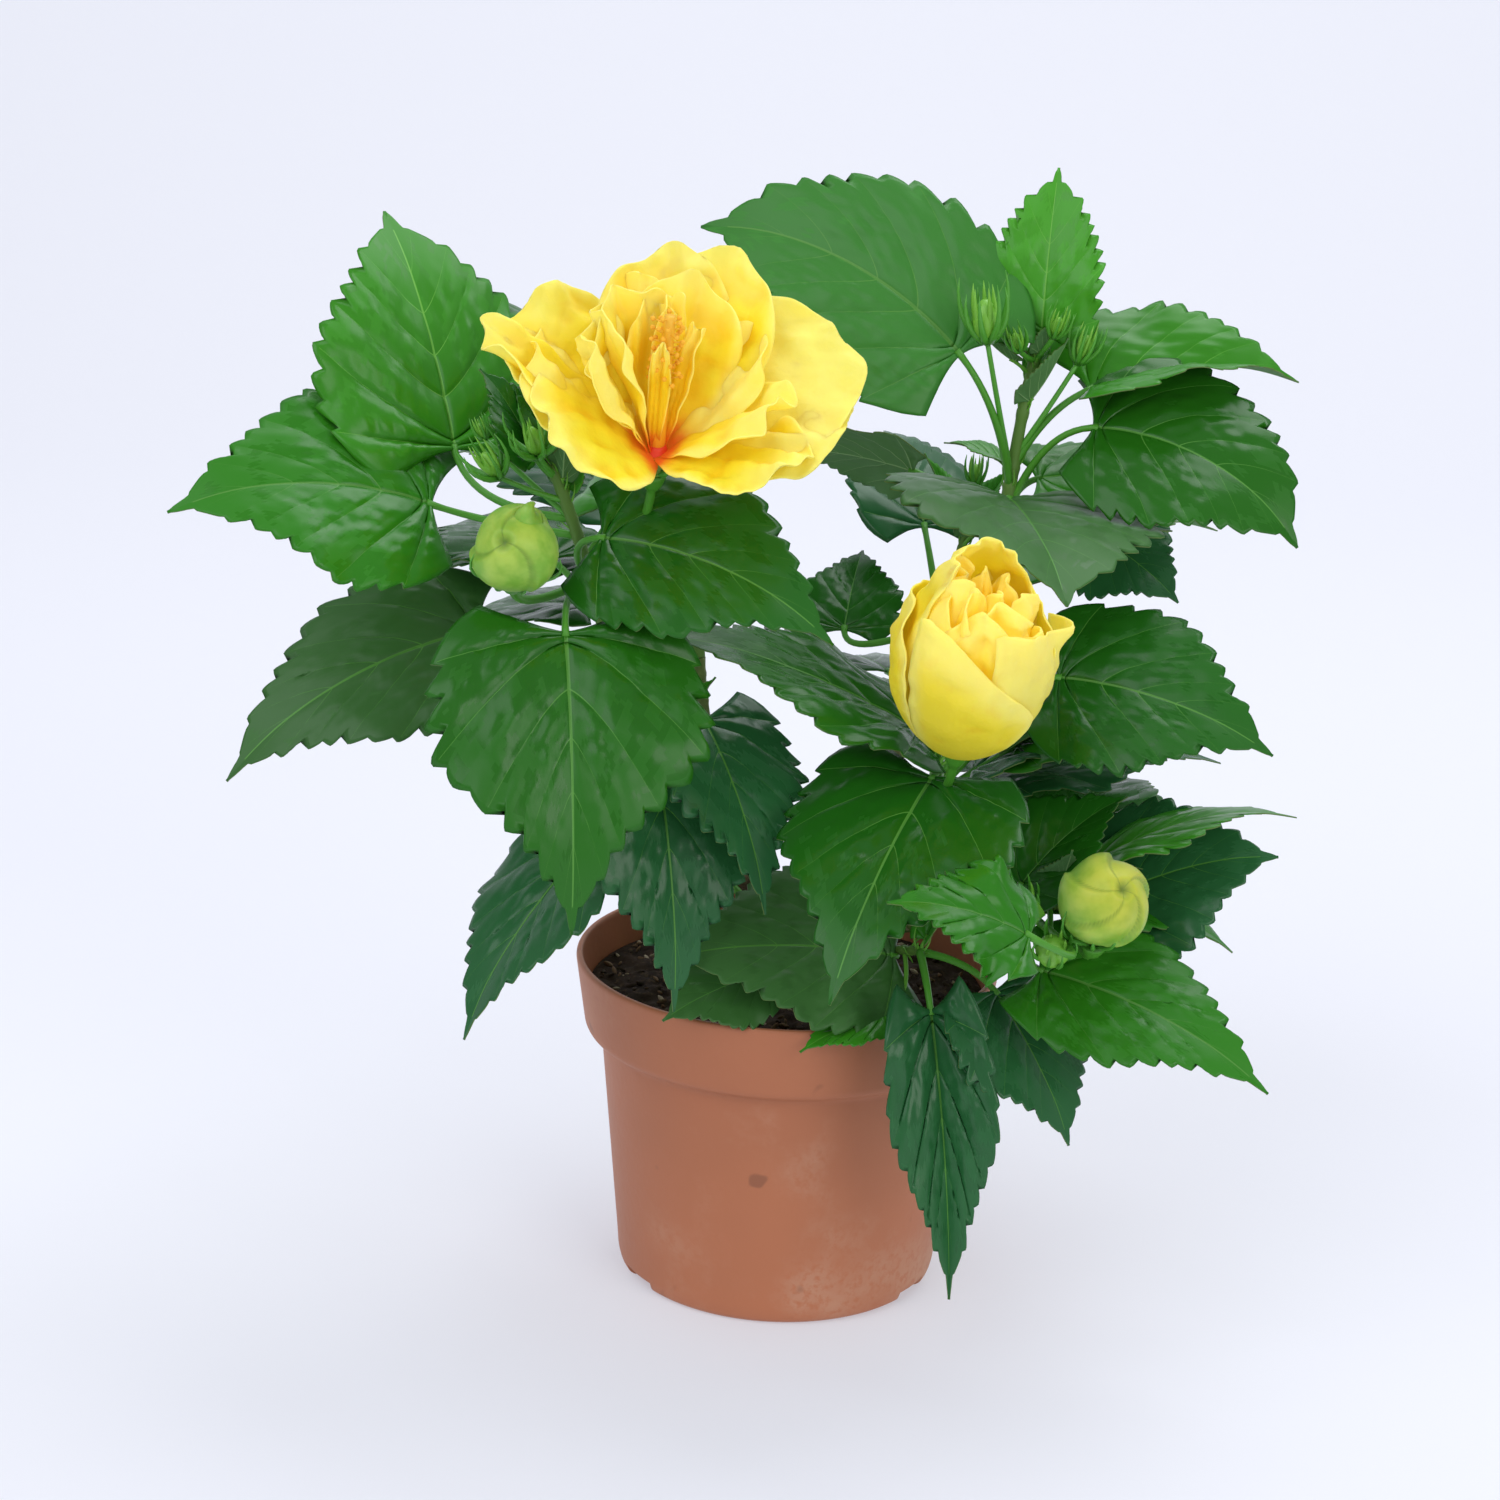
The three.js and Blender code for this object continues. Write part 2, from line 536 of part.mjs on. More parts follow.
function makeBough(name, extra) {
  const { thick, thin } = BOUGHS[name];
  return limb(boughCurve(name), taper(thick + extra, thin + extra), BOUGH_SIDES, 6);
}

// Where the stem of a mass starts and how it runs: on from its bough's tip, a seat's width away.
function massStem(mass) {
  const bough = boughCurve(mass.stem.bough);
  const from = bough.getPoint(1).addScaledVector(bough.getTangent(1), SEAT);
  const curve = limbPath(from, vector(mass.stem.to), vector(mass.stem.bow));
  const first = curve.getTangent(0);
  const start = bough.getTangent(1);
  const steer = start.multiplyScalar(first.length() * STEM.lead).add(from);
  const lead = new THREE.CubicBezierCurve3(from, steer, curve.v1, curve.v2);
  return { curve: lead, thick: BOUGHS[mass.stem.bough].thin, thin: mass.stem.thin };
}

// A flower or bud stalk widens into a small cup, a seat's width short of the bloom that it carries.
function flowerStalk(from, flower, cup) {
  const { axis, base } = flower;
  const end = base.clone().addScaledVector(axis, -SEAT);
  const reach = from.distanceTo(end);
  const bend = end.clone().addScaledVector(axis, -FLOWER_STALK.bend * reach);
  const curve = new THREE.QuadraticBezierCurve3(from, bend, end);
  const cupShare = 1 - cup / reach;
  const radiusAt = (t) => {
    const inCup = clamp((t - cupShare) / (1 - cupShare), 0, 1);
    return FLOWER_STALK.radius + FLOWER_STALK.cupFlare * Math.sqrt(inCup);
  };
  return limb(curve, radiusAt, FLOWER_STALK.sides, FLOWER_STALK.steps);
}

// Where each bloom or bud meets its stalk, and its axis.
function flowerSeat(name) {
  if (ROUND_BUDS[name]) {
    const { middle, heading, pitch, length } = ROUND_BUDS[name];
    const axis = frameOf(heading, pitch).forward;
    return { axis, base: vector(middle).addScaledVector(axis, -length / 2) };
  }
  const bloom = name === "open_bloom" ? OPEN_BLOOM : HALF_OPEN_BLOOM;
  const axis = frameOf(bloom.heading, bloom.pitch).forward;
  return { axis, base: vector(bloom.throat).addScaledVector(axis, -bloom.heart) };
}

function makeOpenBloom(bloom) {
  const axis = frameOf(bloom.heading, bloom.pitch).forward;
  const throat = vector(bloom.throat);
  const base = throat.clone().addScaledVector(axis, -bloom.heart);
  const { foot, crown, rise } = bloom.cup;
  const { length, thick, thin } = bloom.column;
  return mainBody(
    fuse([
      limb(new THREE.LineCurve3(base, throat.clone().addScaledVector(axis, rise)), taper(foot, crown), 8, 1),
      limb(new THREE.LineCurve3(throat, throat.clone().addScaledVector(axis, length)), taper(thick, thin), 6, 2),
      ...bloom.rings.flatMap((ring) => petalRing(bloom, ring)),
    ]),
  );
}

function makeHalfOpenBloom(bloom) {
  const { axis, base } = flowerSeat("half_open_bloom");
  const { radius, length, petals, step, swirl, sides, rows } = bloom.egg;
  const curve = new THREE.LineCurve3(base, base.clone().addScaledVector(axis, length));
  return limb(
    curve,
    (t, angle) => {
      const girth = Math.pow(Math.sin(Math.PI * (0.05 + 0.87 * Math.pow(t, 0.85))), 0.75);
      const lap = ((((angle + swirl * t) * petals) / (2 * Math.PI)) % 1 + 1) % 1;
      return radius * girth * (1 - step * lap);
    },
    sides,
    rows,
  );
}

function makeRoundBud(name) {
  const bud = ROUND_BUDS[name];
  const { axis, base } = flowerSeat(name);
  const body = ovoid(base, axis, bud.radius, bud.length, 10, 6);
  const flower = { throat: base.clone().addScaledVector(axis, 1.5).toArray(), ...bud };
  const ring = { ...SEPAL, first: 12 };
  const sepalOutline = (u) => Math.max(0.15, 1 - u * u);
  return mainBody(fuse([body, ...petalRing(flower, ring, sepalOutline, SEPAL_SHAPE, 1)]));
}

// The leaves that fill a mass away from the viewer, spaced round its stem like the rest.
function fillLeaves(mass) {
  const { seed, count, facing, span, low, high, pitch, length } = mass.fill;
  const roll = dice(seed);
  const leaves = [];
  for (let k = 0; k < count; k++) {
    const on = low + ((high - low) * (k + 0.5)) / count;
    const turn = (((k * FILL.turn) % 360) / 360 - 0.5) * span + (roll() - 0.5) * FILL.headingScatter;
    const size = length[0] + (length[1] - length[0]) * roll();
    const rise = pitch[0] + (pitch[1] - pitch[0]) * on + (roll() - 0.5) * FILL.pitchScatter;
    const reach = FILL.reach + FILL.reachScatter * roll();
    const tilt = (roll() - 0.5) * FILL.rollScatter;
    leaves.push({
      on,
      heading: facing + turn,
      pitch: rise,
      length: size,
      width: size * FILL.widthShare,
      roll: tilt,
      arch: FILL.arch,
      reach,
    });
  }
  return leaves;
}

// True where every sampled point of a leaf keeps to the mass's own space.
function insideSpace(blade, space) {
  const half = vector(space.half);
  const middle = vector(space.middle);
  return [0.25, 0.6, 1].every((u) => {
    const d = bladePlace(blade, 0, u * blade.length, 0).sub(middle);
    return Math.abs(d.x) < half.x && Math.abs(d.y) < half.y && Math.abs(d.z) < half.z;
  });
}

const touches = (piece, others) => others.some((other) => piece.intersect(other).volume() > 0);

// The stem of a mass, with each stalk that carries a leaf, bud or bloom where it is clear of the other pieces.
function startMass(mass, others) {
  const stem = massStem(mass);
  const place = (on) => stem.curve.getPoint(on);
  const pieces = [limb(stem.curve, taper(stem.thick, stem.thin), STEM.sides, STEM.steps)];
  for (const { on, bloom, cup } of mass.flowerStalks ?? []) {
    pieces.push(flowerStalk(place(on), flowerSeat(bloom), cup));
  }
  for (const bud of mass.spikyBuds ?? []) {
    pieces.push(spikyBud(place(bud.on), bud));
  }
  for (const leaf of mass.leaves) {
    pieces.push(...leafOn(place(leaf.on), leafBlade(leaf), LEAF_SHAPE, others));
  }
  return fuse(pieces);
}

// A leaf and its stalk, or nothing where they would touch another piece.
function leafOn(from, blade, shape, others) {
  const room = fuse([stalk(from, blade, SEAT), plate(blade, leafOutline, shape, LEAF.thickness + 2 * SEAT)]);
  if (touches(room, others)) return [];
  return [stalk(from, blade), plate(blade, leafOutline, shape, LEAF.thickness)];
}

// The leaves on the far side of a mass, where they keep to its space.
function fillMass(mass, start, others) {
  const stem = massStem(mass);
  const pieces = [start];
  for (const leaf of fillLeaves(mass)) {
    const from = stem.curve.getPoint(leaf.on);
    const out = frameOf(leaf.heading, leaf.pitch + FILL.stalkLift).forward;
    const blade = leafBlade({ ...leaf, at: from.clone().addScaledVector(out, leaf.reach).toArray() });
    if (insideSpace(blade, mass.space)) pieces.push(...leafOn(from, blade, FILL_SHAPE, others));
  }
  return fuse(pieces);
}

function meshOf(name, body, finish) {
  const { numProp, vertProperties, triVerts } = body.getMesh();
  const count = vertProperties.length / numProp;
  const positions = new Float32Array(count * 3);
  for (let i = 0; i < count; i++) positions.set(vertProperties.subarray(i * numProp, i * numProp + 3), i * 3);
  const geometry = new THREE.BufferGeometry();
  geometry.setAttribute("position", new THREE.BufferAttribute(positions, 3));
  geometry.setIndex(new THREE.BufferAttribute(triVerts, 1));
  geometry.computeVertexNormals();
  const mesh = new THREE.Mesh(geometry, new THREE.MeshStandardMaterial({ ...FINISH[finish], metalness: 0 }));
  mesh.name = name;
  return mesh;
}

const plant = new THREE.Group();
const built = [];
function place(name, body, finish) {
  built.push(body);
  plant.add(meshOf(name, body, finish));
}

place("pot", makePot(), "pot");
place("soil", makeSoil(), "soil");
place("main_stem", makeMainStem(0), "bark");

let limbsSoFar = makeMainStem(SEAT);
for (const name of Object.keys(BOUGHS)) {
  place(name, mainBody(makeBough(name, 0).subtract(limbsSoFar)), "bark");
  limbsSoFar = limbsSoFar.add(makeBough(name, SEAT));
}

place("open_bloom", makeOpenBloom(OPEN_BLOOM), "petal");
place("half_open_bloom", makeHalfOpenBloom(HALF_OPEN_BLOOM), "petal");
for (const name of Object.keys(ROUND_BUDS)) place(name, makeRoundBud(name), "bud");

const limbsWithRoom = limbsSoFar;
const masses = {};
for (const [name, mass] of Object.entries(MASSES)) {
  masses[name] = startMass(mass, [...built, ...Object.values(masses)]).subtract(limbsWithRoom);
}
for (const [name, mass] of Object.entries(MASSES)) {
  const others = Object.keys(masses).filter((other) => other !== name);
  masses[name] = mainBody(fillMass(mass, masses[name], [...built, ...others.map((other) => masses[other])]));
  plant.add(meshOf(name, masses[name], "leaf"));
}

export default plant;
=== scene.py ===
"""Hibiscus shrub in its pot, dressed around the packed part.

Laid out as an add-on and run as a script. Shapes are worked out in millimetres, in the part's own
frame (+Z up, the viewer at -Y, the origin under the pot), and become metres when a mesh is made.
"""

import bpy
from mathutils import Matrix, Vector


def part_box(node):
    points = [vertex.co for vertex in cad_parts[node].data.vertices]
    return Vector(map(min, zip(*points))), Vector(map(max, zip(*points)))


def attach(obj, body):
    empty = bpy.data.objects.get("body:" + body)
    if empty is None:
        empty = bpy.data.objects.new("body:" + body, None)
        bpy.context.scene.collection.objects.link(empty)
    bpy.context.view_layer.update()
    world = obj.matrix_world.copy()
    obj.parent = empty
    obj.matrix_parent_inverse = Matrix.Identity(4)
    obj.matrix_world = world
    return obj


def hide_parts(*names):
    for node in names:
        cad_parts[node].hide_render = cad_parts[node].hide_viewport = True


bl_info = {
    "name": "Potted Hibiscus",
    "version": (1, 0, 0),
    "blender": (4, 5, 0),
    "location": "3D View > Sidebar > Hibiscus",
    "description": "Grows a flowering hibiscus shrub in its nursery pot",
    "category": "Add Mesh",
}

import math

import bpy
import numpy as np
from bpy.props import FloatProperty, FloatVectorProperty, IntProperty, PointerProperty
from mathutils import Matrix

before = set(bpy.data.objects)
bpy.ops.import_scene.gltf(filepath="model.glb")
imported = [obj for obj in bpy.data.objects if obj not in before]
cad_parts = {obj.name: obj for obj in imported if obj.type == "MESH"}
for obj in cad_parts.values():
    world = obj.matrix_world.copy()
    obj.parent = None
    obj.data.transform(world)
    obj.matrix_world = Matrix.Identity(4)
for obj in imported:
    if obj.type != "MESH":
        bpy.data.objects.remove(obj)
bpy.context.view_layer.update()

MM = 0.001
TURN = 2 * math.pi
# A small share of a curve, over which its direction is measured.
STEP = 1e-4


def tint(code):
    """A colour written as on a paint card (six hex digits) as the linear numbers that shaders use."""
    parts = [int(code[i : i + 2], 16) / 255 for i in (0, 2, 4)]
    return tuple(p / 12.92 if p <= 0.04045 else ((p + 0.055) / 1.055) ** 2.4 for p in parts)


def bough(start, end, bow, thick, thin):
    """A bough from its root to the place where it enters its mass, bowed aside at its middle."""
    return {"start": start, "end": end, "bow": bow, "thick": thick, "thin": thin}


def leaf(on, at, heading, pitch, length, width, tone, **more):
    """A leaf: its place on the stem, the joint of stalk and blade, how it lies, its size and its green.

    More may be its roll, arch and fold, how far its tip is drawn out, how strong its teeth, waves and
    pleats are, and how many mm nearer to the viewer it stands than in the part."""
    return {
        "on": on, "at": at, "heading": heading, "pitch": pitch, "length": length, "width": width,
        "tone": tone, **more,
    }


def strewn(seed, count, facing, span, on, pitch, length, bare=()):
    """Leaves strewn by rule: the heading that they face, its span, the ranges that they fill, and which
    of them are left out because open sky shows there."""
    return {
        "seed": seed, "count": count, "facing": facing, "span": span, "on": on, "pitch": pitch,
        "length": length, "bare": bare,
    }


def bud(on, at, size, fat=0.27, loose=0.5):
    """A pointed bud: its place on the stem, its foot, its length, and how fat and how loose it is."""
    return {"on": on, "at": at, "size": size, "fat": fat, "loose": loose}


# Woody limbs, as in the part.
MAIN_STEM = {
    "foot": (-4, 8),
    "top": (-2, 4, 121),
    "flare": 8.5,
    "flare_height": 5,
    "thick": 5.6,
    "thin": 4.2,
}
BOUGHS = {
    "left_bough": bough((-3, 5, 116), (-54, -16, 188), (-10, 2, -10), 3.4, 2.3),
    "lower_left_bough": bough((-4, 4, 108), (-25, -13, 132), (-4, -1, -5), 2.8, 2.0),
    "back_left_bough": bough((-3, 7, 113), (-31, 20, 190), (-13, 6, 0), 3.2, 2.3),
    "right_bough": bough((-2, 5, 118), (58, 6, 232), (8, 10, -14), 3.8, 2.5),
    "middle_right_bough": bough((-1, 3, 114), (36, -26, 156), (6, 2, -10), 3.0, 2.0),
    "lower_right_bough": bough((-1, 4, 108), (50, -22, 127), (2, -3, -7), 2.8, 1.9),
    "front_bough": bough((-2, 2, 103), (22, -26, 112), (0, -2, -2), 2.4, 1.8),
    "back_right_bough": bough((-1, 7, 112), (34, 38, 168), (6, 8, -12), 3.0, 2.1),
}
# Points round a limb and along it, and the leaf scars of a bough.
BARK = {"sides": 28, "stem_steps": 60, "steps": 90, "scars": 6}
# The gap between a limb and the stem or bloom that it carries, and how far a stem keeps its direction.
SEAT = 0.3
STEM_LEAD = 6

# Masses, as in the part: the stem, the leaves seen from the front, the buds, and the strewn leaves.
MASSES = {
    "left_foliage": {
        "stem": {"bough": "left_bough", "to": (-73, -50, 264), "bow": (6, -10, 0), "thin": 1.4},
        "leaves": [
            leaf(0.85, (-102, -28, 262), 122, 54, 78, 76, "bright", arch=25, drawn=0.3, pleat=2.6),
            leaf(0.8, (-107, -42, 249), -158, 2, 76, 66, "mid", roll=-42, arch=40, drawn=0.45, pleat=1.5),
            leaf(0.2, (-94, -25, 208), -160, -28, 86, 54, "dull", roll=-42, arch=40),
            leaf(
                0.6, (-66, -82, 224), -80, -68, 84, 78, "rich",
                arch=45, drawn=0.6, teeth=1.25, pleat=1.4,
            ),
            leaf(0.62, (-58, -62, 246), -22, -16, 74, 56, "deep", roll=42, arch=40),
            leaf(0.97, (-77, -52, 266), 150, 50, 30, 22, "deep", roll=-20, fold=20),
            leaf(0.97, (-71, -47, 268), 120, 62, 34, 24, "deep", fold=20),
        ],
        "buds": [
            bud(0.9, (-87, -56, 261), 9, loose=0.75),
            bud(0.97, (-76, -58, 268), 10, loose=0.75),
            bud(0.85, (-92, -44, 269), 5),
        ],
        "flower_stalks": [
            {"on": 0.6, "bloom": "open_bloom", "cup": 6},
            {"on": 0.66, "bloom": "left_round_bud", "cup": 5},
        ],
        "fill": strewn(3, 4, 100, 130, (0.15, 0.8), (-25, 25), (56, 74)),
        "shoots": 4,
    },
    "lower_left_foliage": {
        "stem": {"bough": "lower_left_bough", "to": (-36, -36, 186), "bow": (-2, 0, -4), "thin": 1.2},
        "leaves": [
            leaf(0.9, (-41, -52, 180), -70, -70, 74, 50, "cool", arch=35, fold=15, drawn=0.5, teeth=1.7),
            leaf(1.0, (-28, -46, 190), -60, -48, 62, 46, "cool", arch=35, fold=15, drawn=0.5, teeth=1.7),
            leaf(0.45, (-57, -42, 152), -138, -46, 72, 50, "cool", arch=30, fold=12),
            leaf(0.2, (-8, -50, 114), -150, -16, 34, 30, "dull", roll=-40),
        ],
        "fill": strewn(11, 3, 175, 70, (0.2, 0.9), (-20, 10), (54, 66)),
        "shoots": 1,
    },
    "back_left_foliage": {
        "stem": {"bough": "back_left_bough", "to": (-48, 48, 256), "bow": (6, 4, 2), "thin": 1.2},
        "leaves": [],
        "buds": [bud(1.0, (-49, 52, 266), 7)],
        "fill": strewn(23, 13, 100, 220, (0, 1), (-30, 38), (58, 80)),
        "shoots": 3,
    },
    "upper_right_foliage": {
        "stem": {"bough": "right_bough", "to": (66, 10, 290), "bow": (-2, 0, 0), "thin": 1.5},
        "leaves": [
            leaf(0.45, (43, 0, 290), 158, 20, 90, 66, "pale", roll=-54, arch=50, drawn=0.2),
            leaf(
                0.97, (67, 10, 295), 78, 72, 50, 35, "fresh",
                fold=15, arch=20, drawn=0.1, teeth=1.8, wavy=2.0,
            ),
            leaf(0.55, (82, 11, 279), 12, 3, 66, 52, "bright", roll=17, arch=35, fold=35, drawn=0.3),
            leaf(0.25, (83, 0, 270), -19, -24, 70, 62, "rich", roll=38, arch=55, drawn=0.25),
            leaf(0.2, (59, -5, 249), -78, -12, 68, 84, "dull", roll=-8, arch=25, fold=14, drawn=0.3),
            leaf(0.3, (68, 9, 252), 8, -2, 44, 38, "bright", roll=22),
            leaf(0.1, (86, 30, 232), -25, -30, 36, 42, "cool", roll=35),
            leaf(0.1, (33, 40, 246), 162, 3, 46, 44, "cool", roll=38),
            leaf(0.4, (57, 10, 257), 160, 12, 18, 14, "fresh", fold=20),
        ],
        "buds": [
            bud(0.5, (50, -8, 296), 13, fat=0.33),
            bud(0.97, (60, 0, 292), 7),
            bud(0.97, (70, 2, 296), 7),
            bud(0.6, (78, 6, 288), 9),
        ],
        "fill": strewn(31, 5, 75, 120, (0.15, 0.9), (-15, 35), (54, 72), bare=(1, 2, 3)),
        "shoots": 6,
    },
    "middle_right_foliage": {
        "stem": {"bough": "middle_right_bough", "to": (40, -54, 181), "bow": (4, 2, -2), "thin": 1.5},
        "leaves": [
            leaf(0.7, (34, -54, 191), -170, 22, 82, 54, "rich", roll=-14, arch=20, drawn=0.3),
            leaf(0.8, (38, -68, 182), -116, -36, 80, 68, "deep", roll=-5, arch=30, drawn=0.5),
            leaf(0.5, (73, -45, 206), -20, -12, 66, 56, "deep", roll=45, arch=30),
            leaf(0.2, (58, -6, 164), 8, 4, 72, 54, "cool", roll=2, arch=30),
        ],
        "flower_stalks": [{"on": 0.85, "bloom": "half_open_bloom", "cup": 6}],
        "fill": strewn(47, 3, 20, 60, (0.1, 0.5), (5, 35), (50, 62)),
        "shoots": 2,
    },
    "lower_right_foliage": {
        "stem": {"bough": "lower_right_bough", "to": (80, -46, 138), "bow": (0, 0, -3), "thin": 1.3},
        "leaves": [
            leaf(0.95, (92, -30, 133), -5, 20, 54, 54, "cool", roll=45, arch=30),
            leaf(0.8, (72, -60, 122), -24, -18, 75, 46, "mid", roll=35, arch=30),
            leaf(
                0.7, (64, -80, 142), -168, 16, 42, 36, "mid",
                roll=-38, arch=30, teeth=2.0, wavy=4.0, pleat=1.6, nearer=36,
            ),
            leaf(0.6, (66, -48, 143), 22, 38, 42, 38, "deep", roll=20, arch=30, fold=20),
        ],
        "buds": [
            bud(0.9, (74, -76, 132), 11, fat=0.45),
            bud(0.9, (67, -70, 144), 8),
        ],
        "flower_stalks": [{"on": 1.0, "bloom": "right_round_bud", "cup": 5}],
        "fill": strewn(59, 4, 35, 90, (0.1, 0.9), (-20, 20), (50, 66)),
        "shoots": 3,
    },
    "front_foliage": {
        "stem": {"bough": "front_bough", "to": (38, -48, 122), "bow": (0, 0, 2), "thin": 1.2},
        "leaves": [
            leaf(1.0, (41, -66, 111), -64, -76, 86, 36, "cool", roll=24, arch=15, fold=38, pleat=1.8),
            leaf(0.9, (60, -54, 113), -40, -52, 50, 54, "cool", roll=5, arch=20),
            leaf(0.5, (31, -42, 118), -158, 6, 72, 54, "dull", roll=-42, arch=20, drawn=0.25),
            leaf(0.8, (28, -59, 106), -155, -16, 28, 18, "bright", roll=-20),
        ],
        "fill": strewn(61, 2, -30, 40, (0.1, 0.4), (10, 20), (40, 50)),
        "shoots": 1,
    },
    "back_right_foliage": {
        "stem": {"bough": "back_right_bough", "to": (52, 56, 228), "bow": (2, 4, 0), "thin": 1.2},
        "leaves": [leaf(0.6, (14, 50, 192), 80, 30, 38, 34, "deep", arch=30)],
        "buds": [bud(1.0, (53, 60, 238), 7)],
        "fill": strewn(71, 12, 65, 200, (0, 1), (-30, 45), (58, 80)),
        "shoots": 3,
    },
}
# The rule, as in the part: angles in degrees, lengths in mm.
FILL = {
    "turn": 137.5,
    "heading_scatter": 16,
    "pitch_scatter": 14,
    "reach": 16,
    "reach_scatter": 22,
    "roll_scatter": 24,
    "width_share": 0.76,
    "arch": 40,
    "stalk_lift": 25,
}
# Young leaves round the tip of a stem. Pairs are the least and the greatest.
SHOOT = {
    "down": 0.06,
    "scatter": 40,
    "length": (11, 24),
    "pitch": (38, 72),
    "reach": (3, 7),
    "width": 0.62,
}
# Greens of the strewn leaves in turn, and how far a leaf's tip is drawn out where its entry doesn't say.
FILL_TONES = ("mid", "cool", "deep", "bright", "dull", "deep")
DRAWN = 0.42
# From the plant to the viewer's eye.
TO_VIEWER = np.array([0.0, -0.96, 0.28])

# Blooms and round buds, about the places that they have in the part.
OPEN_BLOOM = {
    "throat": (-43, -66, 272),
    "heading": -76,
    "pitch": 72,
    "heart": 6,
    # Each petal: clock angle, spread from the axis, length, width, arch, roll, height of its ruffle, and
    # its tone, from deep gold (below 0) to pale (1). The narrow ones stand round the column.
    # Tones below 0 raise a petal's crease number, and so its painted fold shade.
    "petals": (
        (6, 61, 59, 52, 18, 24, 2.0, 0.5),
        (36, 67, 54, 40, 14, 14, 2.0, 0.3),
        (342, 71, 52, 42, 20, 20, 2.0, 0.5),
        (80, 30, 55, 38, 8, -2, 3.0, -0.4),
        (50, 34, 57, 42, 8, 10, 2.5, -0.2),
        (102, 28, 47, 24, 8, -10, 3.0, -0.4),
        (144, 54, 54, 42, 8, -22, 3.5, -0.1),
        (163, 56, 57, 22, 4, -10, 3.0, 0.0),
        (160, 56, 45, 40, 2, -14, 2.5, 0.2),
        (206, 66, 41, 46, 20, -18, 2.0, 0.0),
        (312, 76, 45, 38, 22, 6, 2.5, 0.0),
        (60, 22, 48, 34, 8, 16, 3.5, -0.3),
        (120, 22, 46, 30, 8, -14, 3.5, -0.3),
        (14, 42, 42, 26, 10, 16, 3.0, 0.7),
        (328, 54, 42, 32, 10, 4, 3.0, 0.3),
        (96, 12, 42, 18, 4, -10, 3.0, -0.4),
        (164, 34, 36, 22, 6, 6, 3.0, 0.5),
        (150, 24, 44, 30, 10, 22, 3.0, 0.2),
        (172, 33, 42, 24, 12, -6, 3.0, 0.6),
        (70, 8, 45, 10, 6, 30, 2.0, -0.9),
        (30, 12, 38, 8, 6, 10, 2.0, -0.9),
        (236, 4, 36, 6, 4, 16, 1.5, -1.2),
    ),
    "column": {"length": 42, "thick": 2.3, "thin": 1.6},
    "stamens": {
        "count": 46, "low": 0.5, "span": 0.48, "turn": 2.4, "reach": 3.2, "scatter": 1.6, "rise": 1.5,
    },
}
HALF_OPEN_BLOOM = {
    "throat": (44, -84, 201),
    "heading": -70,
    "pitch": 74,
    "heart": 6,
    "radius": 21.8,
    "length": 62,
    "mouth": 0.9,
    # Petals of less than this girth are inner ones.
    "inner": 0.85,
    # Each petal: clock angle of its middle, half the angle it wraps, girth, top, how far its top edge
    # falls away, where along that edge its point is, how far its later side (below 0: its earlier side)
    # stands off, the height of its ripples, and how pale it is.
    "petals": (
        (252, 52, 1.05, 0.77, 0.6, -0.9, -4.5, 0.3, 0.25),
        (322, 62, 1.0, 0.73, 0.24, -0.7, 8.0, 0.6, 0.7),
        (138, 60, 1.05, 0.75, 0.3, 0.0, 1.5, 0.5, 0.0),
        (38, 66, 0.97, 0.82, 0.28, 0.0, 1.0, 0.6, 0.3),
        (98, 90, 0.92, 1.0, 0.06, 0.0, 0.0, 0.8, 0.0),
        (232, 58, 0.82, 0.8, 0.4, 0.2, 0.0, 2.6, 0.2),
        (310, 60, 0.78, 0.72, 0.3, 0.0, 0.0, 2.6, 0.4),
        (164, 58, 0.78, 0.94, 0.3, 0.0, 0.0, 2.2, 0.6),
        (196, 50, 0.66, 0.92, 0.35, 0.0, 0.0, 2.4, 0.6),
        (262, 66, 0.64, 0.84, 0.4, 0.2, 0.0, 3.0, 0.2),
        (340, 60, 0.6, 0.82, 0.3, 0.0, 0.0, 2.4, 0.2),
        (130, 50, 0.54, 0.93, 0.3, 0.0, 0.0, 2.2, 0.4),
        (226, 54, 0.46, 0.87, 0.35, 0.0, 0.0, 2.2, 0.0),
        (20, 60, 0.42, 0.85, 0.3, 0.0, 0.0, 2.0, 0.0),
        (280, 60, 0.3, 0.86, 0.3, 0.0, 0.0, 1.8, 0.0),
        (90, 60, 0.26, 0.88, 0.3, 0.0, 0.0, 1.6, 0.0),
    ),
}
ROUND_BUDS = {
    "left_round_bud": {
        "middle": (-80, -80, 246), "heading": -80, "pitch": 50, "radius": 12.5, "length": 27,
        "face": (-104, 24), "beak": (5, -3, 14), "laps": 3, "ripe": 0.2,
    },
    "right_round_bud": {
        "middle": (87, -78, 150), "heading": -80, "pitch": 70, "radius": 13.5, "length": 30,
        "face": (-66, 34), "laps": 5, "ripe": 0.55,
    },
}
# Stipules at a stalk's foot, and bracts under each round bud and bloom: how many, their length, how far
# they spread as a share of it, and their width at the foot.
STIPULES = (2, 6.5, 0.45, 0.4)
EPICALYX = {
    "left_round_bud": (8, 15, 1.0, 0.9),
    "right_round_bud": (8, 15, 1.0, 0.9),
    "half_open_bloom": (6, 16, 0.95, 1.5),
    "open_bloom": (7, 8, 1.1, 1.4),
}
# A petal's fold in degrees, the distance from its root to the flower's axis, the points of its grid, and
# its broad and fine dents: height and wave.
PETAL_FOLD = 6
PETAL_ROOT = 2
PETAL_ROWS, PETAL_COLUMNS = 45, 41
PETAL_DENTS = (0.9, 11)
PETAL_TISSUE = (0.26, 5.5)
# The same for a rolled petal, and the dents that the outer ones share.
ROLLED_ROWS, ROLLED_COLUMNS = 41, 33
ROLLED_DENTS = (0.45, 10)
ROLLED_TISSUE = (0.3, 5)
SHARED_DENTS = (0.45, 13)

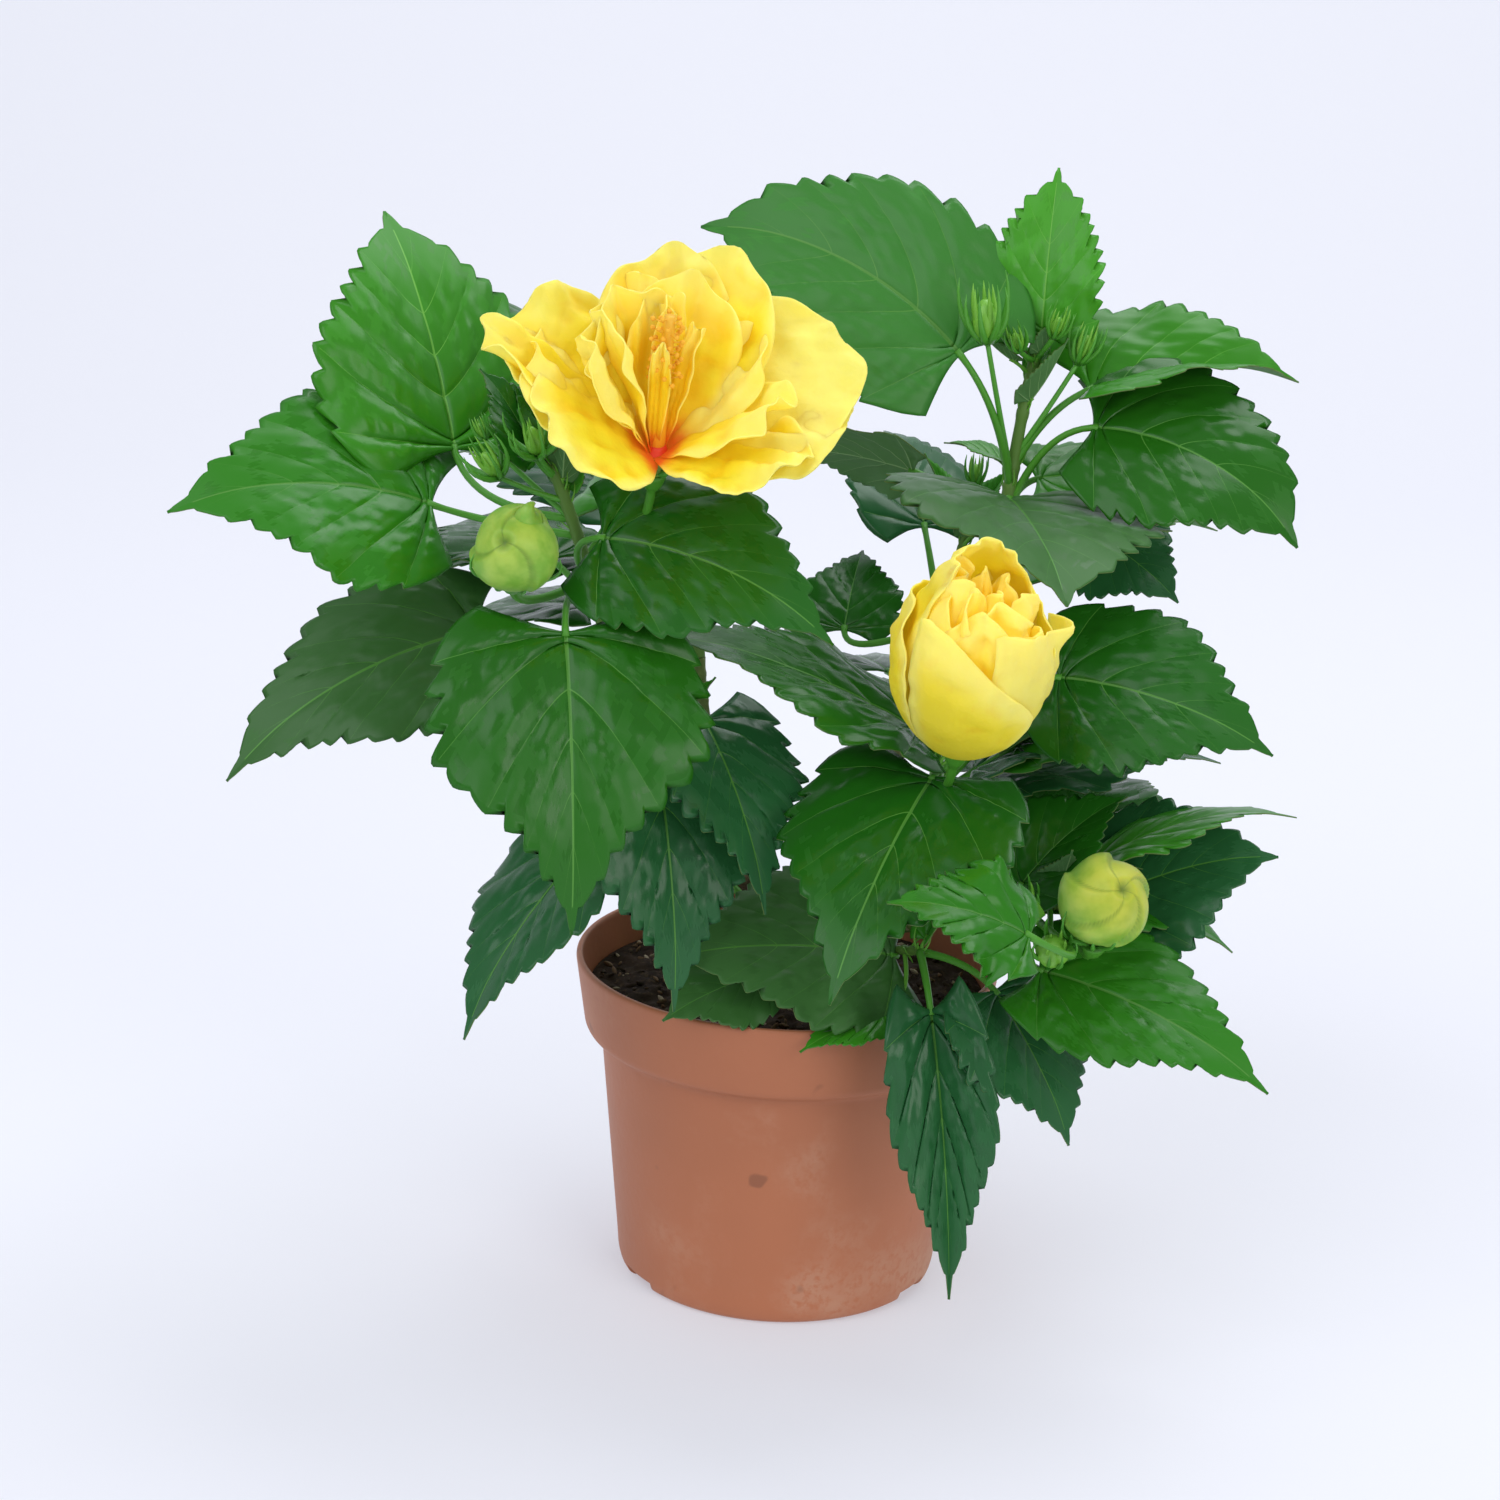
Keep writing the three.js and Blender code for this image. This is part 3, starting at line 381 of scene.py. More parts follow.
# A leaf's side veins: where each leaves the midrib and meets the margin, and the teeth up to the next.
VEINS = (
    (0.0, 0.0, 1),
    (0.015, 0.16, 3),
    (0.035, 0.45, 2),
    (0.2, 0.6, 2),
    (0.36, 0.72, 1),
    (0.53, 0.81, 1),
    (0.7, 0.9, 1),
    (1.0, 1.0, 0),
)
# One rounded tooth, from the last gap to its own tip: share of its length, and depth of the cut.
TOOTH = ((0.08, 1.0), (0.27, 0.68), (0.48, 0.4), (0.7, 0.16), (0.9, 0.0), (1.0, 0.25))
LEAF_LOBE = 0.1
LEAF_CUP = 10
LEAF_TIP = 0.4
# Length of a full-grown leaf, for which the relief of its blade is given, and its dents: height and wave.
FULL_GROWN = 80
LEAF_DENTS = ((0.2, 4.6), (0.42, 18))
# Fine wrinkles between the veins: height as a share of the quilting, and turns per mm in radians.
WRINKLE = {"height": 0.26, "pace": 1.25, "sway": 1.1, "sway_pace": 0.35}
# Slow waves of the whole blade, as shares of its length, with the waves that its margin has along it.
MARGIN = {"height": 0.022, "slow": 1.6, "quick": 3.1, "twist": 0.03, "droop": 0.03}
# Cells across half of a young leaf.
YOUNG_COLUMNS = 6
# Stalks, and the swellings where they leave a stem and meet a blade.
STALK = {"thick": 1.3, "thin": 0.9, "sunk": 1.6, "bend": 0.4, "young_below": 30, "young": 0.55}
FLOWER_STALK = {"radius": 1.3, "cup": 2.6}
KNOT = {"height": 0.35, "reach": 0.02}


def colour_setting(name, description, code):
    """A colour that the user can change."""
    return FloatVectorProperty(
        name=name, description=description, default=tint(code), subtype="COLOR", size=3
    )


def length_setting(name, description, default):
    """A length that the user can change, in metres."""
    return FloatProperty(name=name, description=description, default=default, unit="LENGTH", precision=5)


class PlantSettings(bpy.types.PropertyGroup):
    """Sizes and colours of the leaves, stalks and limbs."""

    leaf_thickness: length_setting("Leaf Thickness", "Thickness of a leaf's blade", 0.00035)
    tooth_depth: FloatProperty(
        name="Tooth Depth", description="Depth of the teeth as a share of half the width", default=0.094
    )
    vein_width: length_setting("Vein Width", "Half-width of the midrib at its base", 0.0006)
    quilting: length_setting("Quilting", "How far the blade bulges between its veins", 0.0008)
    near_columns: IntProperty(
        name="Near Columns", description="Cells across half of a leaf set by hand", default=25, min=4
    )
    far_columns: IntProperty(
        name="Far Columns", description="Cells across half of a strewn leaf", default=10, min=4
    )
    bark: colour_setting("Bark", "Colour of the old bark", "85745a")
    green_bark: colour_setting("Green Bark", "Colour of the young bark", "6d7f42")


class BloomSettings(bpy.types.PropertyGroup):
    """Sizes and colours of the petals."""

    petal: colour_setting("Petal", "Colour of a petal's middle", "f7d92c")
    petal_edge: colour_setting("Petal Edge", "Paler colour of a petal's edge", "faeb78")
    # The fold colour is painted shade, laid in the petals' creases and dips.
    painted_fold_shade: colour_setting("Petal Fold", "Deep colour in the folds", "f3c41c")
    eye: colour_setting("Eye", "Colour of the throat", "e8441c")
    petal_thickness: length_setting("Petal Thickness", "Thickness of a petal", 0.0004)
    ruffle: FloatProperty(name="Ruffle", description="Scales the waves at the petals' edges", default=1.0)


class PotSettings(bpy.types.PropertyGroup):
    """Sizes and colours of the pot and its peat."""

    rim_radius: length_setting("Rim Radius", "Outer radius of the rim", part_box("pot")[1].x)
    height: length_setting("Height", "Height of the pot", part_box("pot")[1].z)
    plastic: colour_setting("Plastic", "Colour of the moulded plastic", "b46f4c")
    dust: colour_setting("Dust", "Colour of the dust on the pot", "c39a80")
    peat: colour_setting("Peat", "Colour of the damp peat", "3b2c21")


class StageSettings(bpy.types.PropertyGroup):
    """Where the camera stands, and the light."""

    distance: length_setting("Distance", "From the camera to the point it looks at", 1.058)
    elevation: FloatProperty(
        name="Elevation", description="Height of the camera as an angle", default=math.radians(17),
        subtype="ANGLE",
    )
    roll: FloatProperty(
        name="Roll", description="Turn of the camera about its line of sight", default=math.radians(2.2),
        subtype="ANGLE",
    )
    lens: FloatProperty(
        name="Lens", description="Focal length on a 36 mm frame", default=84.0, unit="CAMERA"
    )
    aim: FloatVectorProperty(
        name="Aim", description="Point that the camera looks at", default=(-0.014, 0.0, 0.167), size=3,
        subtype="TRANSLATION",
    )
    floor: colour_setting("Floor", "Colour of the floor and wall", "bebfc3")


def unit(vectors):
    """The same vectors, each one long."""
    return vectors / np.maximum(np.linalg.norm(vectors, axis=-1, keepdims=True), 1e-12)


def axes_of(heading, pitch):
    """Forward, left and upper-face directions of something that points along a heading and a pitch."""
    h = math.radians(heading)
    p = math.radians(pitch)
    forward = np.array([math.cos(p) * math.cos(h), math.cos(p) * math.sin(h), math.sin(p)])
    left = np.array([-math.sin(h), math.cos(h), 0.0])
    return forward, left, np.cross(forward, left)


def dice(seed):
    """The part's own chain of pseudo-random numbers from 0 to 1."""
    state = seed * 7919 + 1
    while True:
        state = state * 16807 % 2147483647
        yield state / 2147483647


class Curve:
    """A Bezier curve through its control points."""

    def __init__(self, *points):
        self.points = np.array(points, float)

    def at(self, t):
        """The point at each share of the way."""
        t = np.asarray(t, float)[..., None]
        level = [np.broadcast_to(p, (*t.shape[:-1], 3)) for p in self.points]
        while len(level) > 1:
            level = [a + (b - a) * t for a, b in zip(level, level[1:])]
        return level[0]

    def tangent(self, t):
        """The direction at each share of the way."""
        t = np.asarray(t, float)
        return unit(self.at(np.minimum(t + STEP, 1)) - self.at(np.maximum(t - STEP, 0)))


class Blade:
    """The surface of a leaf or petal: the midrib arches, and the halves roll and fold about it."""

    def __init__(self, at, axes, length, width, roll=0, arch=20, fold=8, cup=LEAF_CUP):
        self.at = np.array(at, float)
        self.forward, self.left, self.up = axes
        self.length = length
        self.width = width
        self.roll = math.radians(roll)
        self.half = math.radians(arch) / 2
        self.fold = fold
        self.cup = cup

    def place(self, across, along, height):
        """Points of the blade: across counts to the right, height above its middle layer."""
        given = (np.asarray(value, float) for value in (across, along, height))
        across, along, height = np.broadcast_arrays(*given)
        radius = self.length / (2 * math.sin(self.half))
        turn = self.half * (1 - 2 * along / self.length)
        cosine = np.cos(turn)[..., None]
        sine = np.sin(turn)[..., None]
        tangent = self.forward * cosine + self.up * sine
        above = self.up * cosine - self.forward * sine
        side = self.left * math.cos(self.roll) + above * math.sin(self.roll)
        normal = np.cross(tangent, side)
        fold = np.radians(self.fold - self.cup * np.abs(across) / (self.width / 2))
        return (
            self.at
            + self.forward * (radius * (math.sin(self.half) - np.sin(turn)))[..., None]
            + self.up * (radius * (np.cos(turn) - math.cos(self.half)))[..., None]
            - side * (across * np.cos(fold))[..., None]
            + normal * (np.abs(across) * np.sin(fold) + height)[..., None]
        )


class Piece:
    """Points and faces gathered for one object. Faces carry a material slot, points a few numbers."""

    def __init__(self):
        self.points = []
        self.faces = []
        self.slots = []
        self.values = {}
        self.count = 0

    def add(self, points, faces, slots=0, **values):
        """Adds points (n by 3) and a list of face arrays, each with its slot or slots."""
        points = np.asarray(points, float).reshape(-1, 3)
        slots = slots if isinstance(slots, (list, tuple)) else [slots] * len(faces)
        for group, slot in zip(faces, slots):
            self.faces.extend((np.asarray(group) + self.count).tolist())
            self.slots.append(np.broadcast_to(np.asarray(slot).reshape(-1), (len(group),)))
        for name, value in values.items():
            spread = np.broadcast_to(np.asarray(value, float).reshape(-1), (len(points),))
            self.values.setdefault(name, []).append((self.count, spread))
        self.points.append(points)
        self.count += len(points)

    def finish(self, name, finishes, slot, nodes=()):
        """Makes the object, in metres, and ties it to the frame."""
        mesh = bpy.data.meshes.new(name)
        mesh.from_pydata(np.concatenate(self.points) * MM, [], self.faces)
        mesh.polygons.foreach_set("material_index", np.concatenate(self.slots).astype(np.int32))
        mesh.polygons.foreach_set("use_smooth", np.ones(len(mesh.polygons), bool))
        for finish in finishes:
            mesh.materials.append(finish.material)
        for key, parts in self.values.items():
            whole = np.zeros(self.count)
            for start, part in parts:
                whole[start : start + len(part)] = part
            mesh.attributes.new(key, "FLOAT", "POINT").data.foreach_set("value", whole)
        mesh.update()
        made = bpy.data.objects.new(name, mesh)
        bpy.context.scene.collection.objects.link(made)
        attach(made, "root")
        if nodes:
            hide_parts(*nodes)


def quads(index):
    """The corners of each cell of a grid of point numbers."""
    corners = [index[:-1, :-1], index[:-1, 1:], index[1:, 1:], index[1:, :-1]]
    return np.stack(corners, axis=-1).reshape(-1, 4)


def sheet(grid, thickness):
    """A thin closed shell on a grid: its points, and the faces of its upper side, lower side and rim."""
    rows, columns = grid.shape[:2]
    normal = unit(np.cross(np.gradient(grid, axis=1), np.gradient(grid, axis=0)))
    points = np.concatenate([grid + normal * thickness / 2, grid - normal * thickness / 2]).reshape(-1, 3)
    under = rows * columns
    index = np.arange(under).reshape(rows, columns)
    loop = np.concatenate([index[0, :-1], index[:-1, -1], index[-1, :0:-1], index[:0:-1, 0]])
    after = np.roll(loop, -1)
    rim = np.stack([after, loop, loop + under, after + under], axis=-1)
    return points, [quads(index), quads(index + under)[:, (0, 3, 2, 1)], rim]


def tube(rings, ends):
    """A closed skin over rings of points, with a fan at each end: its points and faces."""
    count = rings.shape[0] * rings.shape[1]
    index = np.arange(count).reshape(rings.shape[:2])
    index = np.concatenate([index, index[:, :1]], axis=1)
    centre = np.full(rings.shape[1], count)
    foot = np.stack([centre, index[0, :-1], index[0, 1:]], axis=-1)
    head = np.stack([centre + 1, index[-1, 1:], index[-1, :-1]], axis=-1)
    return np.concatenate([rings.reshape(-1, 3), ends]), [quads(index)[:, (0, 3, 2, 1)], foot, head]


def limb(curve, radius, sides, steps):
    """A closed round limb along a curve. Its radius depends on the share of its length and the angle."""
    t = np.linspace(0, 1, steps + 1)
    angle = np.arange(sides) * TURN / sides
    chord = unit(curve.at(1) - curve.at(0))
    reference = np.array([1.0, 0, 0]) if abs(chord[0]) < 0.8 else np.array([0, 1.0, 0])
    along = curve.tangent(t)
    side = unit(np.cross(reference, along))
    other = np.cross(side, along)
    reach = np.broadcast_to(radius(t[:, None], angle[None, :]), (steps + 1, sides))[..., None]
    out = side[:, None] * np.cos(angle)[None, :, None] + other[:, None] * np.sin(angle)[None, :, None]
    return tube(curve.at(t)[:, None] + out * reach, curve.at(np.array([0.0, 1.0])))


def along_limb(steps, sides, value):
    """A number for each point of a limb, as a function of the share of its length."""
    t = np.linspace(0, 1, steps + 1)
    return np.concatenate([np.repeat(value(t), sides), value(np.array([0.0, 1.0]))])


def within(ends, share):
    """The number at a share of the way from the first of two ends to the second."""
    return ends[0] + (ends[1] - ends[0]) * share


def taper(thick, thin):
    """The radius of a limb that narrows evenly."""
    return lambda t, angle: within((thick, thin), t)


def spoke(axis, reference, angle):
    """The direction at an angle round an axis, counted from a side that the reference fixes."""
    side = unit(np.cross(axis, reference))
    return side * math.cos(angle) + np.cross(axis, side) * math.sin(angle)


def smooth(value, low, high):
    """0 below low, 1 above high and an even rise between them."""
    share = np.clip((value - low) / (high - low), 0, 1)
    return share * share * (3 - 2 * share)


# Waves that lie over each other in a crumpled surface.
RIPPLES = 7


def crumple(across, along, wave, rng):
    """Soft dents like those in tissue, about one high, and about a wave apart."""
    total = 0
    for _ in range(RIPPLES):
        turn = rng.uniform(0, TURN)
        pace = TURN / (wave * rng.uniform(0.7, 1.6))
        run = across * math.cos(turn) + along * math.sin(turn)
        total = total + np.sin(pace * run + rng.uniform(0, TURN))
    return total / 3


class Value:
    """A number or colour inside a material, ready for sums."""

    def __init__(self, finish, socket):
        self.finish = finish
        self.socket = socket

    def _sum(self, operation, first, second):
        """A Math node."""
        return self.finish.node("ShaderNodeMath", {"operation": operation}, {0: first, 1: second})

    def __add__(self, other):
        return self._sum("ADD", self, other)

    def __radd__(self, other):
        return self._sum("ADD", other, self)

    def __sub__(self, other):
        return self._sum("SUBTRACT", self, other)

    def __rsub__(self, other):
        return self._sum("SUBTRACT", other, self)

    def __mul__(self, other):
        return self._sum("MULTIPLY", self, other)

    def __rmul__(self, other):
        return self._sum("MULTIPLY", other, self)

    def between(self, low, high):
        """0 where the number is low, 1 where it is high, with a soft rise."""
        return self.finish.node(
            "ShaderNodeMapRange",
            {"interpolation_type": "SMOOTHSTEP"},
            {"Value": self, "From Min": low, "From Max": high},
        )

    def mix(self, first, second):
        """The first colour where this number is 0, and the second where it is 1."""
        return self.finish.node(
            "ShaderNodeMix", {"data_type": "RGBA"}, {"Factor": self, 6: first, 7: second}, output=2
        )


class Finish:
    """A material on the principled shader. Its nodes come from one method."""

    def __init__(self, name, **looks):
        self.material = bpy.data.materials.new(name)
        self.material.use_nodes = True
        self.tree = self.material.node_tree
        self.shader = self.tree.nodes["Principled BSDF"]
        for key, value in looks.items():
            self.set(key.replace("_", " ").title(), value)

    def feed(self, socket, value):
        """Links a value to a socket, or sets the socket to a number, a colour or a vector."""
        if isinstance(value, Value):
            self.tree.links.new(value.socket, socket)
        elif socket.type == "RGBA":
            socket.default_value = (*value, 1.0)
        else:
            socket.default_value = value

    def set(self, name, value):
        """Feeds a socket of the shader."""
        self.feed(self.shader.inputs["Specular IOR Level" if name == "Specular" else name], value)

    def node(self, kind, settings=None, inputs=None, output=0):
        """Any node: its settings come first, then the values or links of its sockets."""
        made = self.tree.nodes.new(kind)
        for key, value in (settings or {}).items():
            setattr(made, key, value)
        for key, value in (inputs or {}).items():
            self.feed(made.inputs[key], value)
        return Value(self, made.outputs[output])

    def place(self):
        """The object's own coordinates."""
        return self.node("ShaderNodeTexCoord", output=3)

    def noise(self, scale, detail, roughness=0.55):
        """Clouds from 0 to 1, finer the larger the scale."""
        return self.node(
            "ShaderNodeTexNoise",
            inputs={"Vector": self.place(), "Scale": scale, "Detail": detail, "Roughness": roughness},
        )

    def number(self, name):
        """A number that the mesh carries at each point."""
        return self.node("ShaderNodeAttribute", {"attribute_name": name}, output=2)

    def bump(self, height, strength, distance):
        """Fine relief, with its distance in metres."""
        inputs = {"Height": height, "Strength": strength, "Distance": distance}
        self.set("Normal", self.node("ShaderNodeBump", inputs=inputs))


def plain(name, code, roughness, specular=0.5):
    """A finish of one colour all over."""
    return Finish(name, base_color=tint(code), roughness=roughness, specular=specular)


def pot_finish(settings):
    """Matt moulded plastic with dust in clouds, more of it at the foot, and a few dark smudges."""
    finish = Finish("terracotta_plastic", specular=0.4)
    height = finish.node("ShaderNodeSeparateXYZ", inputs={0: finish.place()}, output=2)
    clouds = finish.noise(28.0, 5.0)
    specks = finish.noise(420.0, 2.0)
    low = 1 - height.between(0.004, 0.03)
    thick = clouds.between(0.52, 0.74) * 0.35 + low * clouds.between(0.42, 0.6) * 0.35
    dust = thick * specks.between(0.25, 0.6)
    shade = finish.noise(9.0, 3.0).between(0.3, 0.7)
    darker = tuple(c * 0.86 for c in settings.plastic)
    base = shade.mix(darker, tuple(settings.plastic))
    smudge = finish.noise(75.0, 2.0, 0.4).between(0.7, 0.76) * 0.5
    finish.set("Base Color", smudge.mix(dust.mix(base, tuple(settings.dust)), tint("6b4331")))
    finish.set("Roughness", 0.46 + dust * 0.35 + specks * 0.08)
    finish.bump(specks + clouds * 0.5, 0.12, 0.0006)
    return finish


def peat_finish(settings):
    """Dark peat with damp and dry patches and pale grains."""
    finish = Finish("peat", specular=0.25)
    grains = finish.noise(340.0, 6.0, 0.7)
    damp = finish.noise(60.0, 3.0)
    body = damp.between(0.35, 0.65).mix(tint("261b14"), tuple(settings.peat))
    finish.set("Base Color", grains.between(0.5, 0.75).mix(body, tint("5c4836")))
    finish.set("Roughness", 0.98 - damp.between(0.5, 0.7) * 0.25)
    finish.bump(grains, 0.6, 0.0012)
    return finish


def bark_finish(settings):
    """Old bark is grey-brown with streaks along it; young bark turns green."""
    finish = Finish("bark", specular=0.3)
    age = finish.number("age")
    streaks = finish.noise(190.0, 5.0, 0.65)
    corky = finish.noise(520.0, 3.0)
    old = streaks.between(0.38, 0.66).mix(tint("5d5040"), tuple(settings.bark))
    young = streaks.between(0.35, 0.7).mix(tint("586a35"), tuple(settings.green_bark))
    turned = (age + streaks * 0.5 - 0.25).between(0.3, 0.75)
    flecks = corky.between(0.64, 0.7) * 0.6
    finish.set("Base Color", flecks.mix(turned.mix(young, old), tint("b3a687")))
    finish.set("Roughness", 0.62 + turned * 0.25)
    finish.bump(streaks + corky * 0.4, 0.5, 0.0006)
    return finish


def petal_finish(settings, name, root, root_reach, eye_reach, painted_glow):
    """Petals are paler at the edge and deeper in the folds, with another tint and a red eye at the root.

    The deeper colour in the folds is painted shade. Painted glow is the colour and strength of an
    emission, a glow that stands in for the light that comes through them."""
    # The emission is a painted glow in place of light that passes through the petals.
    finish = Finish(
        name, specular=0.2, subsurface_weight=0.4, subsurface_scale=0.004,
        emission_color=tint(painted_glow[0]), emission_strength=painted_glow[1],
    )
    finish.set("Subsurface Radius", (1.0, 0.7, 0.2))
    reach = finish.number("reach")
    crease = finish.number("crease")
    edge = finish.number("edge")
    clouds = finish.noise(60.0, 3.0)
    streaks = finish.noise(260.0, 3.0)
    # Painted shade: the fold colour goes where the crease number is high, in the petal's dips.
    folds = (crease + clouds * 0.5 - 0.25).between(0.5, 1.05)
    body = folds.mix(tuple(settings.petal), tuple(settings.painted_fold_shade))
    rim = (edge + clouds * 0.3 - 0.15).between(0.4, 1.0) * 0.85
    golden = 1 - reach.between(0.08, root_reach)
    warm = (golden * 0.7).mix(rim.mix(body, tuple(settings.petal_edge)), root)
    eye = 1 - (reach + streaks * 0.1).between(eye_reach * 0.7, eye_reach * 1.6)
    finish.set("Base Color", eye.mix(warm, tuple(settings.eye)))
    finish.set("Roughness", 0.5 + streaks * 0.15)
    finish.bump(streaks + clouds * 1.5, 0.45, 0.0008)
    return finish


def bud_finish(name, ripe):
    """A round bud is lime-green and turns yellow round the tip, the more the riper it is."""
    finish = Finish(name, specular=0.3, subsurface_weight=0.2, subsurface_scale=0.003)
    reach = finish.number("reach")
    crease = finish.number("crease")
    clouds = finish.noise(120.0, 3.0)
    skin = clouds.between(0.35, 0.65).mix(tint("78ac3a"), tint("98c254"))
    tip = (reach + clouds * 0.4 - 0.2).between(0.75 - 0.5 * ripe, 1.05) * ripe
    # Dark green along the seams between the sepals, and painted shade in the small opening at the tip.
    finish.set("Base Color", (crease * 0.8).mix(tip.mix(skin, tint("d8c636")), tint("4c6b22")))
    finish.set("Roughness", 0.36 + clouds * 0.15)
    finish.bump(clouds, 0.12, 0.0005)
    return finish


# Leaf greens, dealt out by spray: the blade from above, and its roughness.
TONES = {
    "deep": ("1b5a10", 0.25),
    "cool": ("255c31", 0.24),
    "dull": ("35632b", 0.38),
    "rich": ("205f10", 0.24),
    "mid": ("297213", 0.26),
    "pale": ("357829", 0.38),
    "bright": ("337f17", 0.28),
    "fresh": ("3f8f1f", 0.28),
}
# Every tone has a paler, duller fellow that mottles the blade, more so towards the tip.
MOTTLE = {"paler": 1.1, "duller": 0.12, "start": 0.25, "full": 1.1, "patch": 9, "ragged": 0.4}
# The rest of a leaf: colour, roughness and specular level.
LEAF_PARTS = {
    "vein": ("4c8632", 0.4, 0.3),
    "fresh_vein": ("64a83c", 0.4, 0.3),
    "rim": ("59743a", 0.5, 0.2),
    "underside": ("55804c", 0.7, 0.1),
    "under_vein": ("7fa46c", 0.7, 0.1),
}
LEAF_SLOTS = (*TONES, *(f"{name}_mottled" for name in TONES), *LEAF_PARTS)
BLADE_SPECULAR = 0.27


def leaf_finishes():
    """The finishes of a leaf, in the order of LEAF_SLOTS."""
    finishes = [plain(f"leaf_{name}", *tone, BLADE_SPECULAR) for name, tone in TONES.items()]
    for name, (code, roughness) in TONES.items():
        mottled = plain(f"leaf_{name}_mottled", code, roughness + MOTTLE["duller"], BLADE_SPECULAR)
        mottled.set("Base Color", tuple(part * MOTTLE["paler"] for part in tint(code)))
        finishes.append(mottled)
    return finishes + [plain(f"leaf_{name}", *look) for name, look in LEAF_PARTS.items()]


def leaf_half_width(share, drawn):
    """Half-width of a leaf as a share of its widest, from its base (0) to its drawn-out tip (1)."""
    body = 2.02 * np.power(share + 0.04, 0.38) * np.power(np.maximum(1 - share, 0), 0.75)
    return body * (1 - drawn * smooth(share, 0.4, 0.82)) * (1 - 0.6 * smooth(share, 0.8, 0.94))


def petal_half_width(share):
    """Half-width of a petal, as a share of its widest, with a broad round end."""
    rise = 0.2 + 0.8 * np.sin(math.pi / 2 * np.minimum(share / 0.62, 1))
    return rise * np.sqrt(1 - (np.maximum(share - 0.62, 0) / 0.3804) ** 2)


def tooth_rows():
    """The rows of a leaf's grid: the vein before the row, its share of the way to the next vein at the
    midrib and at the margin, the depth of its cut, the side of the vein that it edges, and its tooth."""
    rows = [(0, 0.0, 0.0, 0.0, 0, 0)]
    number = 0
    for k, (_, _, teeth) in enumerate(VEINS[:-1]):
        if k:
            rows += [(k, 0.0, 0.0, 0.0, -1, number), (k, 0.0, 0.0, 0.0, 1, number)]
        inner = len(TOOTH) * teeth - 1
        for n in range(inner):
            tooth, step = divmod(n, len(TOOTH))
            share, cut = TOOTH[step]
            rows.append((k, (n + 1) / (inner + 1), (tooth + share) / teeth, cut, 0, number + tooth))
        number += teeth
    rows.append((len(VEINS) - 2, 1.0, 1.0, 0.0, 0, number))
    return [np.array(column, float)[:, None] for column in zip(*rows)]


